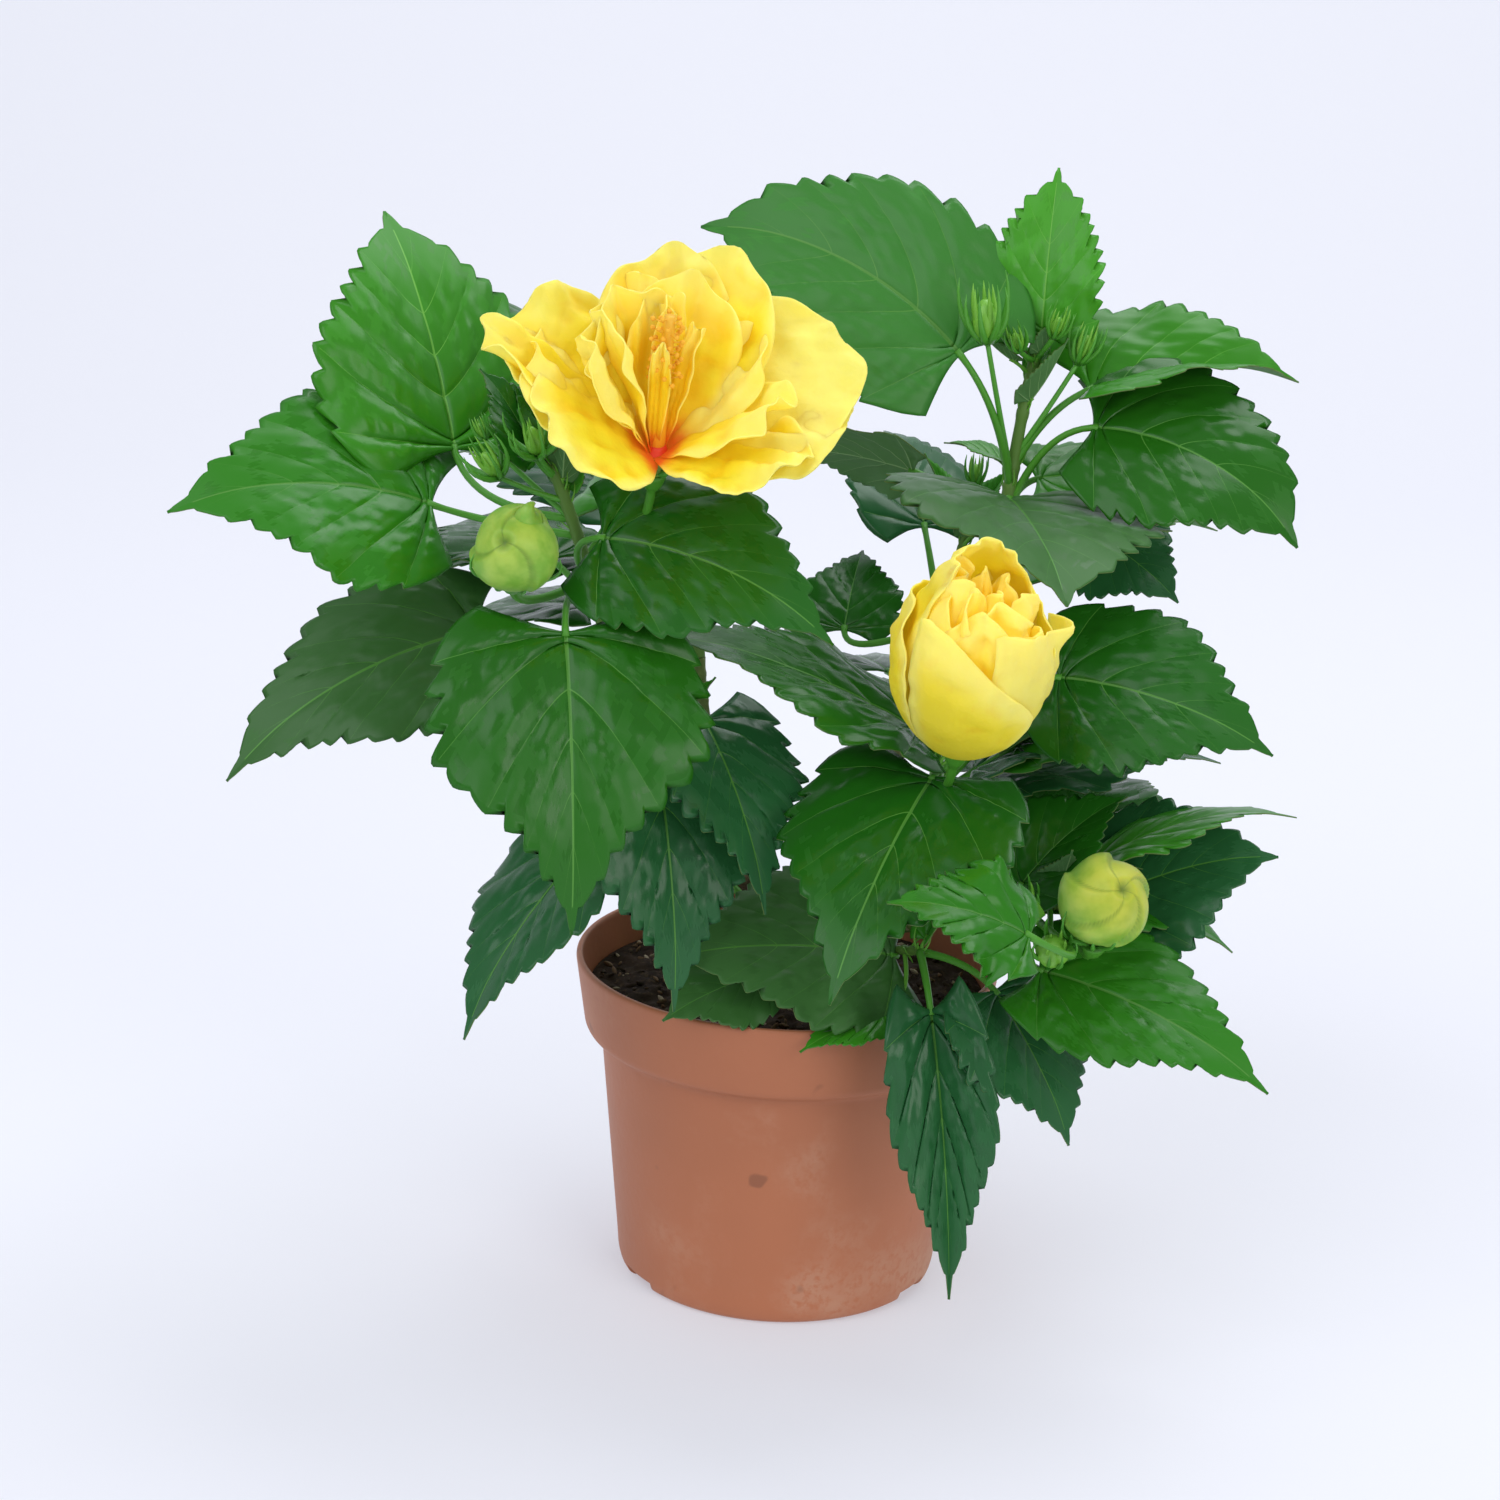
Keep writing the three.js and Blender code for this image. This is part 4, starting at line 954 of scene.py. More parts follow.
class LeafPattern:
    """A leaf's grid follows its side veins from the midrib out to the teeth."""

    def __init__(self, columns, settings):
        self.columns = columns
        self.settings = settings
        self.interval, self.root, self.margin, self.cut, self.edge, tooth = tooth_rows()
        self.tooth = tooth.astype(int)
        veins = np.array(VEINS)
        before = self.interval[:, 0].astype(int)
        self.low = veins[before][:, :2]
        self.high = veins[before + 1][:, :2]

    def half(self, length, width, spec, rng):
        """Across, along and height, in mm, of one half, from the midrib to the margin."""
        settings = self.settings
        columns = self.columns
        share = np.arange(columns + 1)[None, :] / columns
        between = self.root + (self.margin - self.root) * share**2
        start = self.low[:, :1] + (self.high[:, :1] - self.low[:, :1]) * between
        end = self.low[:, 1:] + (self.high[:, 1:] - self.low[:, 1:]) * between
        half_width = np.maximum(leaf_half_width(end, spec.get("drawn", DRAWN)) * width / 2, LEAF_TIP)
        rib = settings.vein_width / MM * length / FULL_GROWN * (1 - 0.75 * start)
        first = np.clip(rib / half_width, 0.004, 0.45)
        spread = (share - 1 / columns) * columns / (columns - 1)
        out = np.where(share == 0, 0, first + (1 - first) * spread)
        bend = out ** (1.3 + 0.3 * (1 - end) ** 6)
        along = length * (start * (1 - bend) + (end - LEAF_LOBE * (1 - end) ** 4) * bend)
        vein = 0.5 * rib * (1 - 0.7 * out)
        crowded = self.interval <= 2
        vein = np.where(crowded, np.minimum(vein, 0.7 * out * length / FULL_GROWN), vein)
        along = along + self.edge * vein
        ragged = rng.uniform(0.6, 1.4, self.tooth.max() + 1)[self.tooth]
        cut = settings.tooth_depth * spec.get("teeth", 1.0)
        depth = np.minimum(cut * width / 2 / half_width[:, -1:], 2.6 * cut)
        depth = depth * smooth(end[:, -1:], 0.06, 0.24)
        across = (out - self.cut * ragged * depth * out**8) * half_width
        bulge = np.sin(math.pi * np.clip(between, 0, 1)) ** 0.8
        profile = (4 * np.clip(out * (1 - out), 0, 1)) ** 0.4
        gap = (self.high[:, 1:] - self.low[:, 1:]) / 0.16
        pleat = settings.quilting / MM * spec.get("pleat", 1.0) * length / FULL_GROWN
        quilt = pleat * np.minimum(gap, 1.0) ** 1.5 * (1 - 0.5 * end)
        sway = WRINKLE["sway"] * np.sin(along * WRINKLE["sway_pace"] + rng.uniform(0, TURN))
        wrinkle = WRINKLE["height"] * np.sin(across * WRINKLE["pace"] + sway)
        height = quilt * bulge * (profile + wrinkle * np.sin(math.pi * out))
        height = height - 0.3 * quilt * np.abs(self.edge) * (1 - out) - 0.35 * quilt * (share == 0)
        dents = sum(high * crumple(across, along, wave, rng) for high, wave in LEAF_DENTS)
        relief = height + length / FULL_GROWN * dents * np.sin(math.pi * np.minimum(out, 0.9))
        return across, along, relief * (1 - smooth(end, 0.7, 0.92))

    def grow(self, piece, blade, spec, rng):
        """Adds one leaf to a piece."""
        length = blade.length
        right = self.half(length, blade.width, spec, rng)
        left = self.half(length, blade.width, spec, rng)
        left = (-left[0], left[1], left[2])
        across, along, height = (np.concatenate([b[:, :0:-1], a], axis=1) for a, b in zip(right, left))
        phase = rng.uniform(0, TURN, 3)
        outward = np.abs(2 * across / blade.width)
        slow = TURN * MARGIN["slow"] * along / length + phase[0] + np.sign(across) * 1.3
        quick = TURN * MARGIN["quick"] * along / length + phase[1] + np.sign(across) * 0.7
        wavy = MARGIN["height"] * spec.get("wavy", 1.0) * length * outward**2
        wavy = wavy * (np.sin(slow) + 0.5 * np.sin(quick))
        twist = MARGIN["twist"] * length * math.sin(phase[2])
        twist = twist * (2 * across / blade.width) * (along / length) ** 2
        droop = MARGIN["droop"] * length * smooth(along / length, 0.7, 1.1)
        grid = blade.place(across, along, height + wavy + twist - droop)
        points, faces = sheet(grid, self.settings.leaf_thickness / MM)
        cells = grid.shape[0] - 1, grid.shape[1] - 1
        is_vein = np.zeros(cells, bool)
        is_vein[(self.edge[:-1, 0] < 0) & (self.edge[1:, 0] > 0), 1:-1] = True
        is_vein[: cells[0] - 2, self.columns - 1 : self.columns + 1] = True
        vein = LEAF_SLOTS.index("fresh_vein" if spec["tone"] in ("fresh", "bright") else "vein")
        patches = crumple(across, along, MOTTLE["patch"], rng)[:-1, :-1]
        patches = patches + rng.uniform(-MOTTLE["ragged"], MOTTLE["ragged"], cells)
        pale = along[:-1, :-1] / length + 0.35 * patches > rng.uniform(MOTTLE["start"], MOTTLE["full"])
        body = LEAF_SLOTS.index(spec["tone"])
        above = np.where(is_vein, vein, np.where(pale, body + len(TONES), body))
        below = np.where(is_vein, LEAF_SLOTS.index("under_vein"), LEAF_SLOTS.index("underside"))
        piece.add(points, faces, [above.reshape(-1), below.reshape(-1), LEAF_SLOTS.index("rim")])


def blade_of(spec):
    """The blade of a leaf, from its entry."""
    shape = {key: spec[key] for key in ("roll", "arch", "fold") if key in spec}
    axes = axes_of(spec["heading"], spec["pitch"])
    return Blade(spec["at"], axes, spec["length"], spec["width"], **shape)


def bough_curve(name):
    """The line of a bough."""
    start, end, bow = (np.array(BOUGHS[name][key], float) for key in ("start", "end", "bow"))
    return Curve(start, (start + end) / 2 + bow, end)


def mass_stem(mass):
    """The stem of a mass: it goes on from its bough's tip."""
    stem = mass["stem"]
    carrier = bough_curve(stem["bough"])
    tip, ahead = carrier.at(1.0), carrier.tangent(1.0)
    start = tip + ahead * SEAT
    end = np.array(stem["to"], float)
    middle = (start + end) / 2 + np.array(stem["bow"], float)
    return Curve(start, start + ahead * STEM_LEAD, middle, end)


def fill_leaves(mass, stem):
    """The strewn leaves, as in the part, but for the bare ones."""
    fill = mass["fill"]
    roll = dice(fill["seed"])
    for k in range(fill["count"]):
        on = within(fill["on"], (k + 0.5) / fill["count"])
        turn = ((k * FILL["turn"] % 360) / 360 - 0.5) * fill["span"]
        heading = fill["facing"] + turn + (next(roll) - 0.5) * FILL["heading_scatter"]
        length = within(fill["length"], next(roll))
        pitch = within(fill["pitch"], on) + (next(roll) - 0.5) * FILL["pitch_scatter"]
        reach = FILL["reach"] + FILL["reach_scatter"] * next(roll)
        tilt = (next(roll) - 0.5) * FILL["roll_scatter"]
        at = stem.at(on) + axes_of(heading, pitch + FILL["stalk_lift"])[0] * reach
        tone = FILL_TONES[k % len(FILL_TONES)]
        if k not in fill["bare"]:
            yield leaf(
                on, at, heading, pitch, length, length * FILL["width_share"], tone,
                roll=tilt, arch=FILL["arch"],
            )


def grown(node, blade):
    """True where the packed part grew this leaf: its node has points at the leaf's tip."""
    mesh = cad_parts[node].data
    corners = np.empty(len(mesh.vertices) * 3)
    mesh.vertices.foreach_get("co", corners)
    tip = blade.place(0, blade.length, 0) * MM
    return np.linalg.norm(corners.reshape(-1, 3) - tip, axis=1).min() < 1.5 * MM


def leaves_of(name):
    """Every leaf of a mass that the part grew: the entry, its blade, and whether it is one of the listed
    leaves.
    """
    mass = MASSES[name]
    stem = mass_stem(mass)
    for by_hand, specs in ((True, mass["leaves"]), (False, fill_leaves(mass, stem))):
        for spec in specs:
            blade = blade_of(spec)
            if grown(name, blade):
                blade.at = blade.at + TO_VIEWER * spec.get("nearer", 0)
                yield spec, blade, by_hand


def shoots_of(name):
    """Small folded leaves round the tip of a mass's stem."""
    mass = MASSES[name]
    stem = mass_stem(mass)
    roll = dice(sum(map(ord, name)))
    for k in range(mass["shoots"]):
        on = 1 - SHOOT["down"] * k * next(roll)
        heading = k * FILL["turn"] + SHOOT["scatter"] * next(roll)
        length = within(SHOOT["length"], next(roll))
        pitch = within(SHOOT["pitch"], next(roll))
        at = stem.at(on) + axes_of(heading, pitch)[0] * within(SHOOT["reach"], next(roll))
        tone = "fresh" if k % 2 else "bright"
        yield leaf(on, at, heading, pitch, length, length * SHOOT["width"], tone, arch=-20, fold=38)


def make_leaves(name, finishes, patterns):
    """The leaves of one mass, in finer patterns where they are listed one by one."""
    piece = Piece()
    rng = np.random.default_rng(sum(map(ord, name)))
    for spec, blade, by_hand in leaves_of(name):
        patterns["near" if by_hand else "far"].grow(piece, blade, spec, rng)
    for spec in shoots_of(name):
        patterns["young"].grow(piece, blade_of(spec), spec, rng)
    piece.finish(name.replace("foliage", "leaves"), finishes, "leaf", [name])


def stalk_curve(start, blade):
    """A leaf's stalk comes in line with the blade that it carries."""
    joint = blade.place(0, 0, 0)
    end = blade.place(0, STALK["sunk"], 0)
    reach = np.linalg.norm(end - start)
    return Curve(start, joint - unit(end - joint) * STALK["bend"] * reach, end)


def add_spikes(piece, at, ahead, spikes, slot, rng):
    """Narrow pointed bracts that start at one place and curve forward."""
    count, length, spread, width = spikes
    for k in range(count):
        out = spoke(ahead, [0.31, 0.83, 0.46], TURN * (k + rng.uniform(-0.2, 0.2)) / count)
        reach = length * rng.uniform(0.8, 1.15)
        curve = Curve(
            at + out * width,
            at + out * spread * reach + ahead * 0.35 * reach,
            at + out * spread * 0.75 * reach + ahead * reach,
        )
        piece.add(*limb(curve, lambda t, angle: width * (1 - t) ** 0.7 + 0.06, 5, 6), slot)


def make_twigs():
    """The green stems of all masses, with a stalk for each leaf and bloom and stipules at its foot."""
    piece = Piece()
    rng = np.random.default_rng(7)
    for name, mass in MASSES.items():
        stem = mass_stem(mass)
        ends = BOUGHS[mass["stem"]["bough"]]["thin"], mass["stem"]["thin"]
        entries = [*leaves_of(name), *((spec, blade_of(spec), False) for spec in shoots_of(name))]
        knots = np.array([spec["on"] for spec, _, _ in entries])

        def radius(t, angle):
            swelling = np.exp(-(((t[..., None] - knots) / KNOT["reach"]) ** 2)).max(-1)
            return within(ends, t) + KNOT["height"] * swelling

        piece.add(*limb(stem, radius, 10, 60), 1)
        for spec, blade, _ in entries:
            young = spec["length"] < STALK["young_below"]
            scale = STALK["young"] if young else 1.0
            foot = stem.at(spec["on"])
            curve = stalk_curve(foot, blade)

            def swelling_radius(t, angle):
                swelling = KNOT["height"] * smooth(t, 0.88, 1.0)
                return scale * (within((STALK["thick"], STALK["thin"]), t) + swelling)

            piece.add(*limb(curve, swelling_radius, 8, 14), 2 if young else 0)
            upward = unit(curve.tangent(0.0) + [0, 0, 0.6])
            add_spikes(piece, foot, upward, STIPULES, 2, rng)
        for entry in mass.get("flower_stalks", ()):
            axis, base = flower_seat(entry["bloom"])
            start = stem.at(entry["on"])
            end = base - axis * SEAT
            reach = np.linalg.norm(end - start)
            cup_share = 1 - entry["cup"] / reach

            def flare(t, angle):
                cup = np.sqrt(np.clip((t - cup_share) / (1 - cup_share), 0, 1))
                return FLOWER_STALK["radius"] + FLOWER_STALK["cup"] * cup

            piece.add(*limb(Curve(start, end - axis * 0.5 * reach, end), flare, 12, 36), 0)
    finishes = [
        plain("stalk_green", "4a8f2a", 0.42, 0.3),
        plain("twig_green", "587d34", 0.5, 0.3),
        plain("stipule", "64a336", 0.5, 0.3),
    ]
    piece.finish("twigs", finishes, "leaf", list(MASSES))


def make_pointed_buds():
    """The small buds, each a green heart in a collar of bracts, and the bracts under the blooms."""
    piece = Piece()
    rng = np.random.default_rng(19)
    for mass in MASSES.values():
        stem = mass_stem(mass)
        for entry in mass.get("buds", ()):
            start = stem.at(entry["on"])
            at = np.array(entry["at"], float)
            size = entry["size"]
            ahead = unit(unit(at - start) + [0, 0, 1.0])
            stalk = Curve(start, (start + at) / 2 + [0, 0, -1], at)
            piece.add(*limb(stalk, taper(0.95, 0.75), 7, 8), 0)
            heart = lambda t, angle: entry["fat"] * size * np.sin(math.pi * (0.08 + 0.88 * t)) ** 0.7
            piece.add(*limb(Curve(at, at + ahead * size * 0.95), heart, 12, 10), 1)
            add_spikes(piece, at, ahead, (8, size * 1.35, entry["loose"], 0.1 * size), 0, rng)
            add_spikes(piece, at + ahead * size * 0.2, ahead, (6, size * 1.1, 0.32, 0.11 * size), 1, rng)
    for name, spikes in EPICALYX.items():
        axis, base = flower_seat(name)
        add_spikes(piece, base, axis, spikes, 0, rng)
    finishes = [plain("bract", "4f9a30", 0.4), plain("bud_heart", "76b63c", 0.4)]
    piece.finish("pointed_buds", finishes, "leaf")


def flower_seat(name):
    """Where a bloom or bud meets its stalk, and its axis."""
    if name in ROUND_BUDS:
        spec = ROUND_BUDS[name]
        axis = axes_of(spec["heading"], spec["pitch"])[0]
        return axis, np.array(spec["middle"], float) - axis * spec["length"] / 2
    bloom = OPEN_BLOOM if name == "open_bloom" else HALF_OPEN_BLOOM
    axis = axes_of(bloom["heading"], bloom["pitch"])[0]
    return axis, np.array(bloom["throat"], float) - axis * bloom["heart"]


def make_limbs(settings):
    """The main stem and the boughs, with bark ridges, leaf scars and a root flare."""
    piece = Piece()
    rng = np.random.default_rng(5)
    foot = np.array([*MAIN_STEM["foot"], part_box("main_stem")[0].z / MM])
    top = np.array(MAIN_STEM["top"], float)
    elbow = np.array([foot[0], foot[1], (foot[2] + top[2]) / 2])
    flare_share = MAIN_STEM["flare_height"] / (top[2] - foot[2])

    def ridges(t, angle, count, seed):
        """Broad and fine ridges that wind along the bark."""
        broad = 0.035 * np.sin(count * angle + seed + 2.2 * np.sin(9 * t + seed))
        return broad + 0.02 * np.sin(37 * t + 3 * angle)

    def stem_radius(t, angle):
        flare = np.clip(1 - t / flare_share, 0, 1) ** 2 * (1 + 0.25 * np.sin(4 * angle))
        radius = within((MAIN_STEM["thick"], MAIN_STEM["thin"]), t)
        radius = radius + (MAIN_STEM["flare"] - MAIN_STEM["thick"]) * flare
        return radius * (1 + ridges(t, angle, 7, 0.4))

    piece.add(*limb(Curve(foot, elbow, top), stem_radius, BARK["sides"], BARK["stem_steps"]), age=1.0)
    for k, (name, spec) in enumerate(BOUGHS.items()):
        scars = rng.uniform(0.15, 0.95, BARK["scars"])

        def bough_radius(t, angle):
            scar = np.exp(-(((t[..., None] - scars) / 0.012) ** 2)).max(-1)
            return within((spec["thick"], spec["thin"]), t) * (1 + ridges(t, angle, 6, k) + 0.12 * scar)

        age = along_limb(BARK["steps"], BARK["sides"], lambda t: 1 - 0.95 * t)
        piece.add(*limb(bough_curve(name), bough_radius, BARK["sides"], BARK["steps"]), age=age)
    piece.finish("woody_limbs", [bark_finish(settings)], "bark", ["main_stem", *BOUGHS])


def petal_grid(blade, ruffle, rng):
    """A petal's points, with its creases and edges as numbers."""
    share = 1 - (1 - np.linspace(0, 1, PETAL_ROWS)[:, None]) ** 1.7
    side = np.linspace(-1, 1, PETAL_COLUMNS)[None, :]
    phase = rng.uniform(0, TURN, 6)
    place = side * petal_half_width(share)
    notch = 0.035 * np.sin(4 * place + phase[0]) + 0.018 * np.sin(9 * place + phase[1])
    reach = share * (1 + notch * share**3)
    across = place * blade.width / 2
    ripple = np.sin(1.7 * math.pi * place + phase[2] + 0.8 * share)
    ripple = ripple + 0.4 * np.sin(3.9 * math.pi * place + phase[3])
    hem = np.sin(9 * share + phase[4] + np.sign(side)) * np.abs(place) ** 3
    veins = np.sin(13 * place + phase[5]) * np.sin(math.pi * share) * (1 - side**2)
    height = ruffle * (share**2 * ripple + 0.7 * np.sin(math.pi * share) * hem) + 0.3 * veins
    dents = crumple(across, reach * blade.length, PETAL_DENTS[1], rng)
    tissue = crumple(across, reach * blade.length, PETAL_TISSUE[1], rng)
    height = height + share**0.7 * (PETAL_DENTS[0] * dents + PETAL_TISSUE[0] * tissue)
    height = height + rng.uniform(-2.5, 3.5) * share**4
    grid = blade.place(across, reach * blade.length, height)
    # Crease rises where the petal dips; it places the painted shade of the folds.
    crease = 0.5 - 0.5 * (0.4 * ripple * share + 0.3 * veins + 0.6 * dents + 0.2 * tissue)
    edge = np.maximum(share**2 + 0 * side, np.abs(side) ** 3 + 0 * share)
    return grid, share + 0 * side, crease, edge


def add_petal(piece, petal, thickness, slot=0):
    """Adds a petal: its grid, and how far out, how deep in a fold and how near an edge each point is."""
    grid, *numbers = petal
    points, faces = sheet(grid, thickness)
    both = [np.tile(number.reshape(-1), 2) for number in numbers]
    piece.add(points, faces, slot, **dict(zip(("reach", "crease", "edge"), both)))


def spread_axes(heading, pitch, clock, spread):
    """Axes of a petal that leans away from its flower's axis by spread, at a clock angle round it."""
    forward, left, up = axes_of(heading, pitch)
    c, s = math.radians(clock), math.radians(spread)
    outward = left * math.cos(c) + up * math.sin(c)
    ahead = forward * math.cos(s) + outward * math.sin(s)
    above = forward * math.sin(s) - outward * math.cos(s)
    return (ahead, np.cross(above, ahead), above), outward


def make_open_bloom(settings):
    """The double bloom: shingled outer petals, ruffled inner ones, and the column of stamens."""
    bloom = OPEN_BLOOM
    piece = Piece()
    rng = np.random.default_rng(41)
    throat = np.array(bloom["throat"], float)
    axis = axes_of(bloom["heading"], bloom["pitch"])[0]
    thickness = settings.petal_thickness / MM
    for clock, spread, length, width, arch, roll, wave, tone in bloom["petals"]:
        axes, outward = spread_axes(bloom["heading"], bloom["pitch"], clock, spread)
        blade = Blade(throat + outward * PETAL_ROOT, axes, length, width, roll, arch, PETAL_FOLD, 0)
        grid, reach, crease, edge = petal_grid(blade, wave * settings.ruffle, rng)
        add_petal(piece, (grid, reach, crease - min(tone, 0), edge + max(tone, 0)), thickness)
    root = tint("f2b414")
    finish = petal_finish(settings, "petal", root, 0.4, 0.19, ("f6dc28", 0.07))
    piece.finish("open_bloom_petals", [finish], "petal", ["open_bloom"])
    make_stamens(throat, axis, tuple(settings.eye), rng)


def make_stamens(throat, axis, eye, rng):
    """The cup under the open bloom, its red eye, and the column with its stamens."""
    column = OPEN_BLOOM["column"]
    stamens = OPEN_BLOOM["stamens"]
    piece = Piece()
    piece.add(*limb(Curve(throat - axis * OPEN_BLOOM["heart"], throat - axis), taper(3.6, 4.4), 16, 6), 0)
    piece.add(*limb(Curve(throat - axis, throat + axis * 2.5), taper(4.2, 2.4), 16, 4), 3)
    shaft = Curve(throat, throat + axis * column["length"])
    piece.add(*limb(shaft, taper(column["thick"], column["thin"]), 12, 12), 1)
    anther = lambda t, angle: 0.75 * np.sin(math.pi * (0.1 + 0.8 * t))
    for k in range(stamens["count"]):
        share = stamens["low"] + stamens["span"] * k / stamens["count"]
        out = spoke(axis, [0.2, 0.9, 0.1], k * stamens["turn"])
        root = throat + axis * column["length"] * share
        tip = root + out * (stamens["reach"] + stamens["scatter"] * rng.random()) + axis * stamens["rise"]
        piece.add(*limb(Curve(root, tip), taper(0.25, 0.2), 5, 2), 1)
        piece.add(*limb(Curve(tip - out * 0.7, tip + out * 0.7), anther, 7, 4), 2)
    finishes = [
        plain("bloom_cup", "7da444", 0.5),
        plain("stamen_column", "f0b62a", 0.5),
        plain("pollen", "f2b22c", 0.8),
        Finish("eye", base_color=eye, roughness=0.5),
    ]
    piece.finish("stamens", finishes, "petal")


def egg_girth(share):
    """Girth of the half-open bloom from its foot (0) to its mouth (1), as a share of its widest."""
    return np.power(np.sin(math.pi * (0.05 + 0.87 * np.power(share, 0.85))), 0.75)


def rolled_petal(petal, rng):
    """A petal of the half-open bloom: the angle, height, radius, reach, crease and edge of each point."""
    clock, wrap, girth, top, point, lean, loose, wave, pale = petal
    bloom = HALF_OPEN_BLOOM
    share = np.linspace(0, 1, ROLLED_ROWS)[:, None]
    side = np.linspace(-1, 1, ROLLED_COLUMNS)[None, :]
    phase = rng.uniform(0, TURN, 3)
    off = np.abs(side - lean) / (1 + abs(lean))
    crest = top * (1 - point * off ** (2.4 - 1.6 * point) + 0.02 * np.sin(4 * side + phase[0]))
    t = share * crest
    angle = np.radians(clock + wrap * side)
    free = smooth(share, 0.45, 1.0)
    lift = abs(loose) * smooth(side * np.sign(loose), 0.1, 0.9) * smooth(share, 0.5, 1.0)
    ripple = np.sin(1.9 * math.pi * side + phase[1]) + 0.4 * np.sin(4.3 * math.pi * side + phase[2])
    dents = crumple(wrap * side * 0.35, t * bloom["length"], ROLLED_DENTS[1], rng)
    tissue = crumple(wrap * side * 0.35, t * bloom["length"], ROLLED_TISSUE[1], rng)
    veins = np.sin(12 * side + phase[0]) * np.sin(math.pi * share)
    relief = wave * free * (ripple + 0.6 * dents)
    relief = relief + share * (ROLLED_DENTS[0] * dents + ROLLED_TISSUE[0] * tissue) + 0.2 * veins
    if girth < bloom["inner"]:
        radius = bloom["radius"] * girth * egg_girth(t * bloom["mouth"]) + lift + relief
        radius = np.minimum(radius, 0.9 * bloom["radius"] * egg_girth(t))
    else:
        # Outer petals share these dents, so that they lie close on each other.
        across = bloom["radius"] * np.cos(angle)
        onward = bloom["length"] * t + bloom["radius"] * np.sin(angle)
        shared = crumple(across, onward, SHARED_DENTS[1], np.random.default_rng(5))
        relief = relief + SHARED_DENTS[0] * share * shared
        radius = bloom["radius"] * girth * egg_girth(t) + lift + relief
    # Crease rises in the dips and on the inner petals, deep in the bloom; it places the painted fold
    # shade.
    crease = 0.45 - 0.4 * ripple * free - 0.25 * dents - 0.25 * tissue + 0.5 * (1 - girth)
    edge = np.maximum(share**3 + 0 * side, np.abs(side) ** 4 + 0 * share) + pale
    return angle, bloom["length"] * t, radius, 0.25 + 0.75 * share + 0 * side, crease, edge


def make_half_open_bloom(settings):
    """The half-open bloom: petals rolled round each other, the outer ones loose at their edge."""
    bloom = HALF_OPEN_BLOOM
    piece = Piece()
    rng = np.random.default_rng(23)
    axis, base = flower_seat("half_open_bloom")
    _, left, up = axes_of(bloom["heading"], bloom["pitch"])
    for petal in bloom["petals"]:
        angle, height, radius, *numbers = rolled_petal(petal, rng)
        out = left * np.cos(angle)[..., None] + up * np.sin(angle)[..., None]
        grid = base + axis * height[..., None] + out * radius[..., None]
        mirrored = [part[:, ::-1] for part in (grid, *numbers)]
        girth = petal[2]
        add_petal(piece, mirrored, settings.petal_thickness / MM, int(girth < bloom["inner"]))
    # The core and the foot carry high crease numbers, so they take the painted fold shade.
    heart = lambda t, angle: 0.36 * bloom["radius"] * egg_girth(t)
    points, faces = limb(Curve(base, base + axis * bloom["length"] * 0.72), heart, 24, 24)
    piece.add(points, faces, 1, reach=0.5, crease=0.9, edge=0.2)
    foot = lambda t, angle: bloom["radius"] * 0.86 * egg_girth(t * 0.5)
    points, faces = limb(Curve(base, base + axis * bloom["length"] * 0.5), foot, 32, 16)
    piece.add(points, faces, 0, reach=0.3, crease=0.6, edge=0.2)
    finishes = [
        # Outer petals: a greenish root tint spread far up and darkened, partly their green base and
        # partly painted shade.
        petal_finish(settings, "outer_petal_painted_shade", tint("9c9a2c"), 1.1, 0.05, ("f6dc28", 0.07)),
        # Inner petals: painted fold shade at their roots, deep in the bloom, and a stronger painted glow.
        petal_finish(settings, "inner_petal_painted_shade_and_glow", tuple(settings.painted_fold_shade), 0.3, 0.05, ("f4c214", 0.15)),
    ]
    piece.finish("half_open_bloom_petals", finishes, "petal", ["half_open_bloom"])


def make_round_bud(name):
    """A round bud: sepals that lap over each other and turn about the tip that faces forward."""
    spec = ROUND_BUDS[name]
    axis = axes_of(*spec["face"])[0]
    half = axis * spec["length"] * 0.49
    middle = np.array(spec["middle"], float)
    sides, steps = 100, 72

    def lap(t, angle):
        """How far round its own sepal a point is, from 0 to 1."""
        return ((angle + 1.3 * t**2) * spec["laps"] / TURN) % 1

    def radius(t, angle):
        girth = np.sin(math.pi * np.clip(t, 0.004, 0.996)) ** 0.56
        step = 0.15 * smooth(lap(t, angle), 0.0, 0.85) * (1 - smooth(lap(t, angle), 0.94, 1.0))
        return spec["radius"] * girth * (0.91 + step * smooth(t, 0.2, 0.7)) - 0.7 * smooth(t, 0.97, 1.0)

    t = np.linspace(0, 1, steps + 1)[:, None]
    angle = (np.arange(sides) * TURN / sides)[None, :]
    groove = smooth(lap(t, angle), 0.93, 1.0) + 1 - smooth(lap(t, angle), 0.0, 0.05)
    groove = groove * smooth(t, 0.4, 0.8)
    # The last rings at the tip take the dark green fully: painted shade in the opening where the sepals
    # meet.
    groove = np.clip(0.6 * groove + smooth(t, 0.982, 0.992), 0, 1)
    piece = Piece()
    points, faces = limb(Curve(middle - half, middle + half), radius, sides, steps)
    points -= axis * along_limb(steps, sides, lambda t: 2.0 * smooth(t, 0.975, 1.0))[:, None]
    reach = along_limb(steps, sides, lambda t: t)
    piece.add(points, faces, 0, reach=reach, crease=np.concatenate([groove.reshape(-1), [0, 1]]))
    if "beak" in spec:
        beak = middle + np.array(spec["beak"], float)
        root = middle + (beak - middle) * 0.62
        curve = Curve(root, root + axis * 5, beak + axis * 4, beak)
        points, faces = limb(curve, lambda t, angle: 4.2 * (1 - t) ** 1.2 + 0.25, 12, 14)
        piece.add(points, faces, 0, reach=0.6, crease=0.1)
    piece.finish(f"{name}_skin", [bud_finish(f"{name}_skin", spec["ripe"])], "bud", [name])


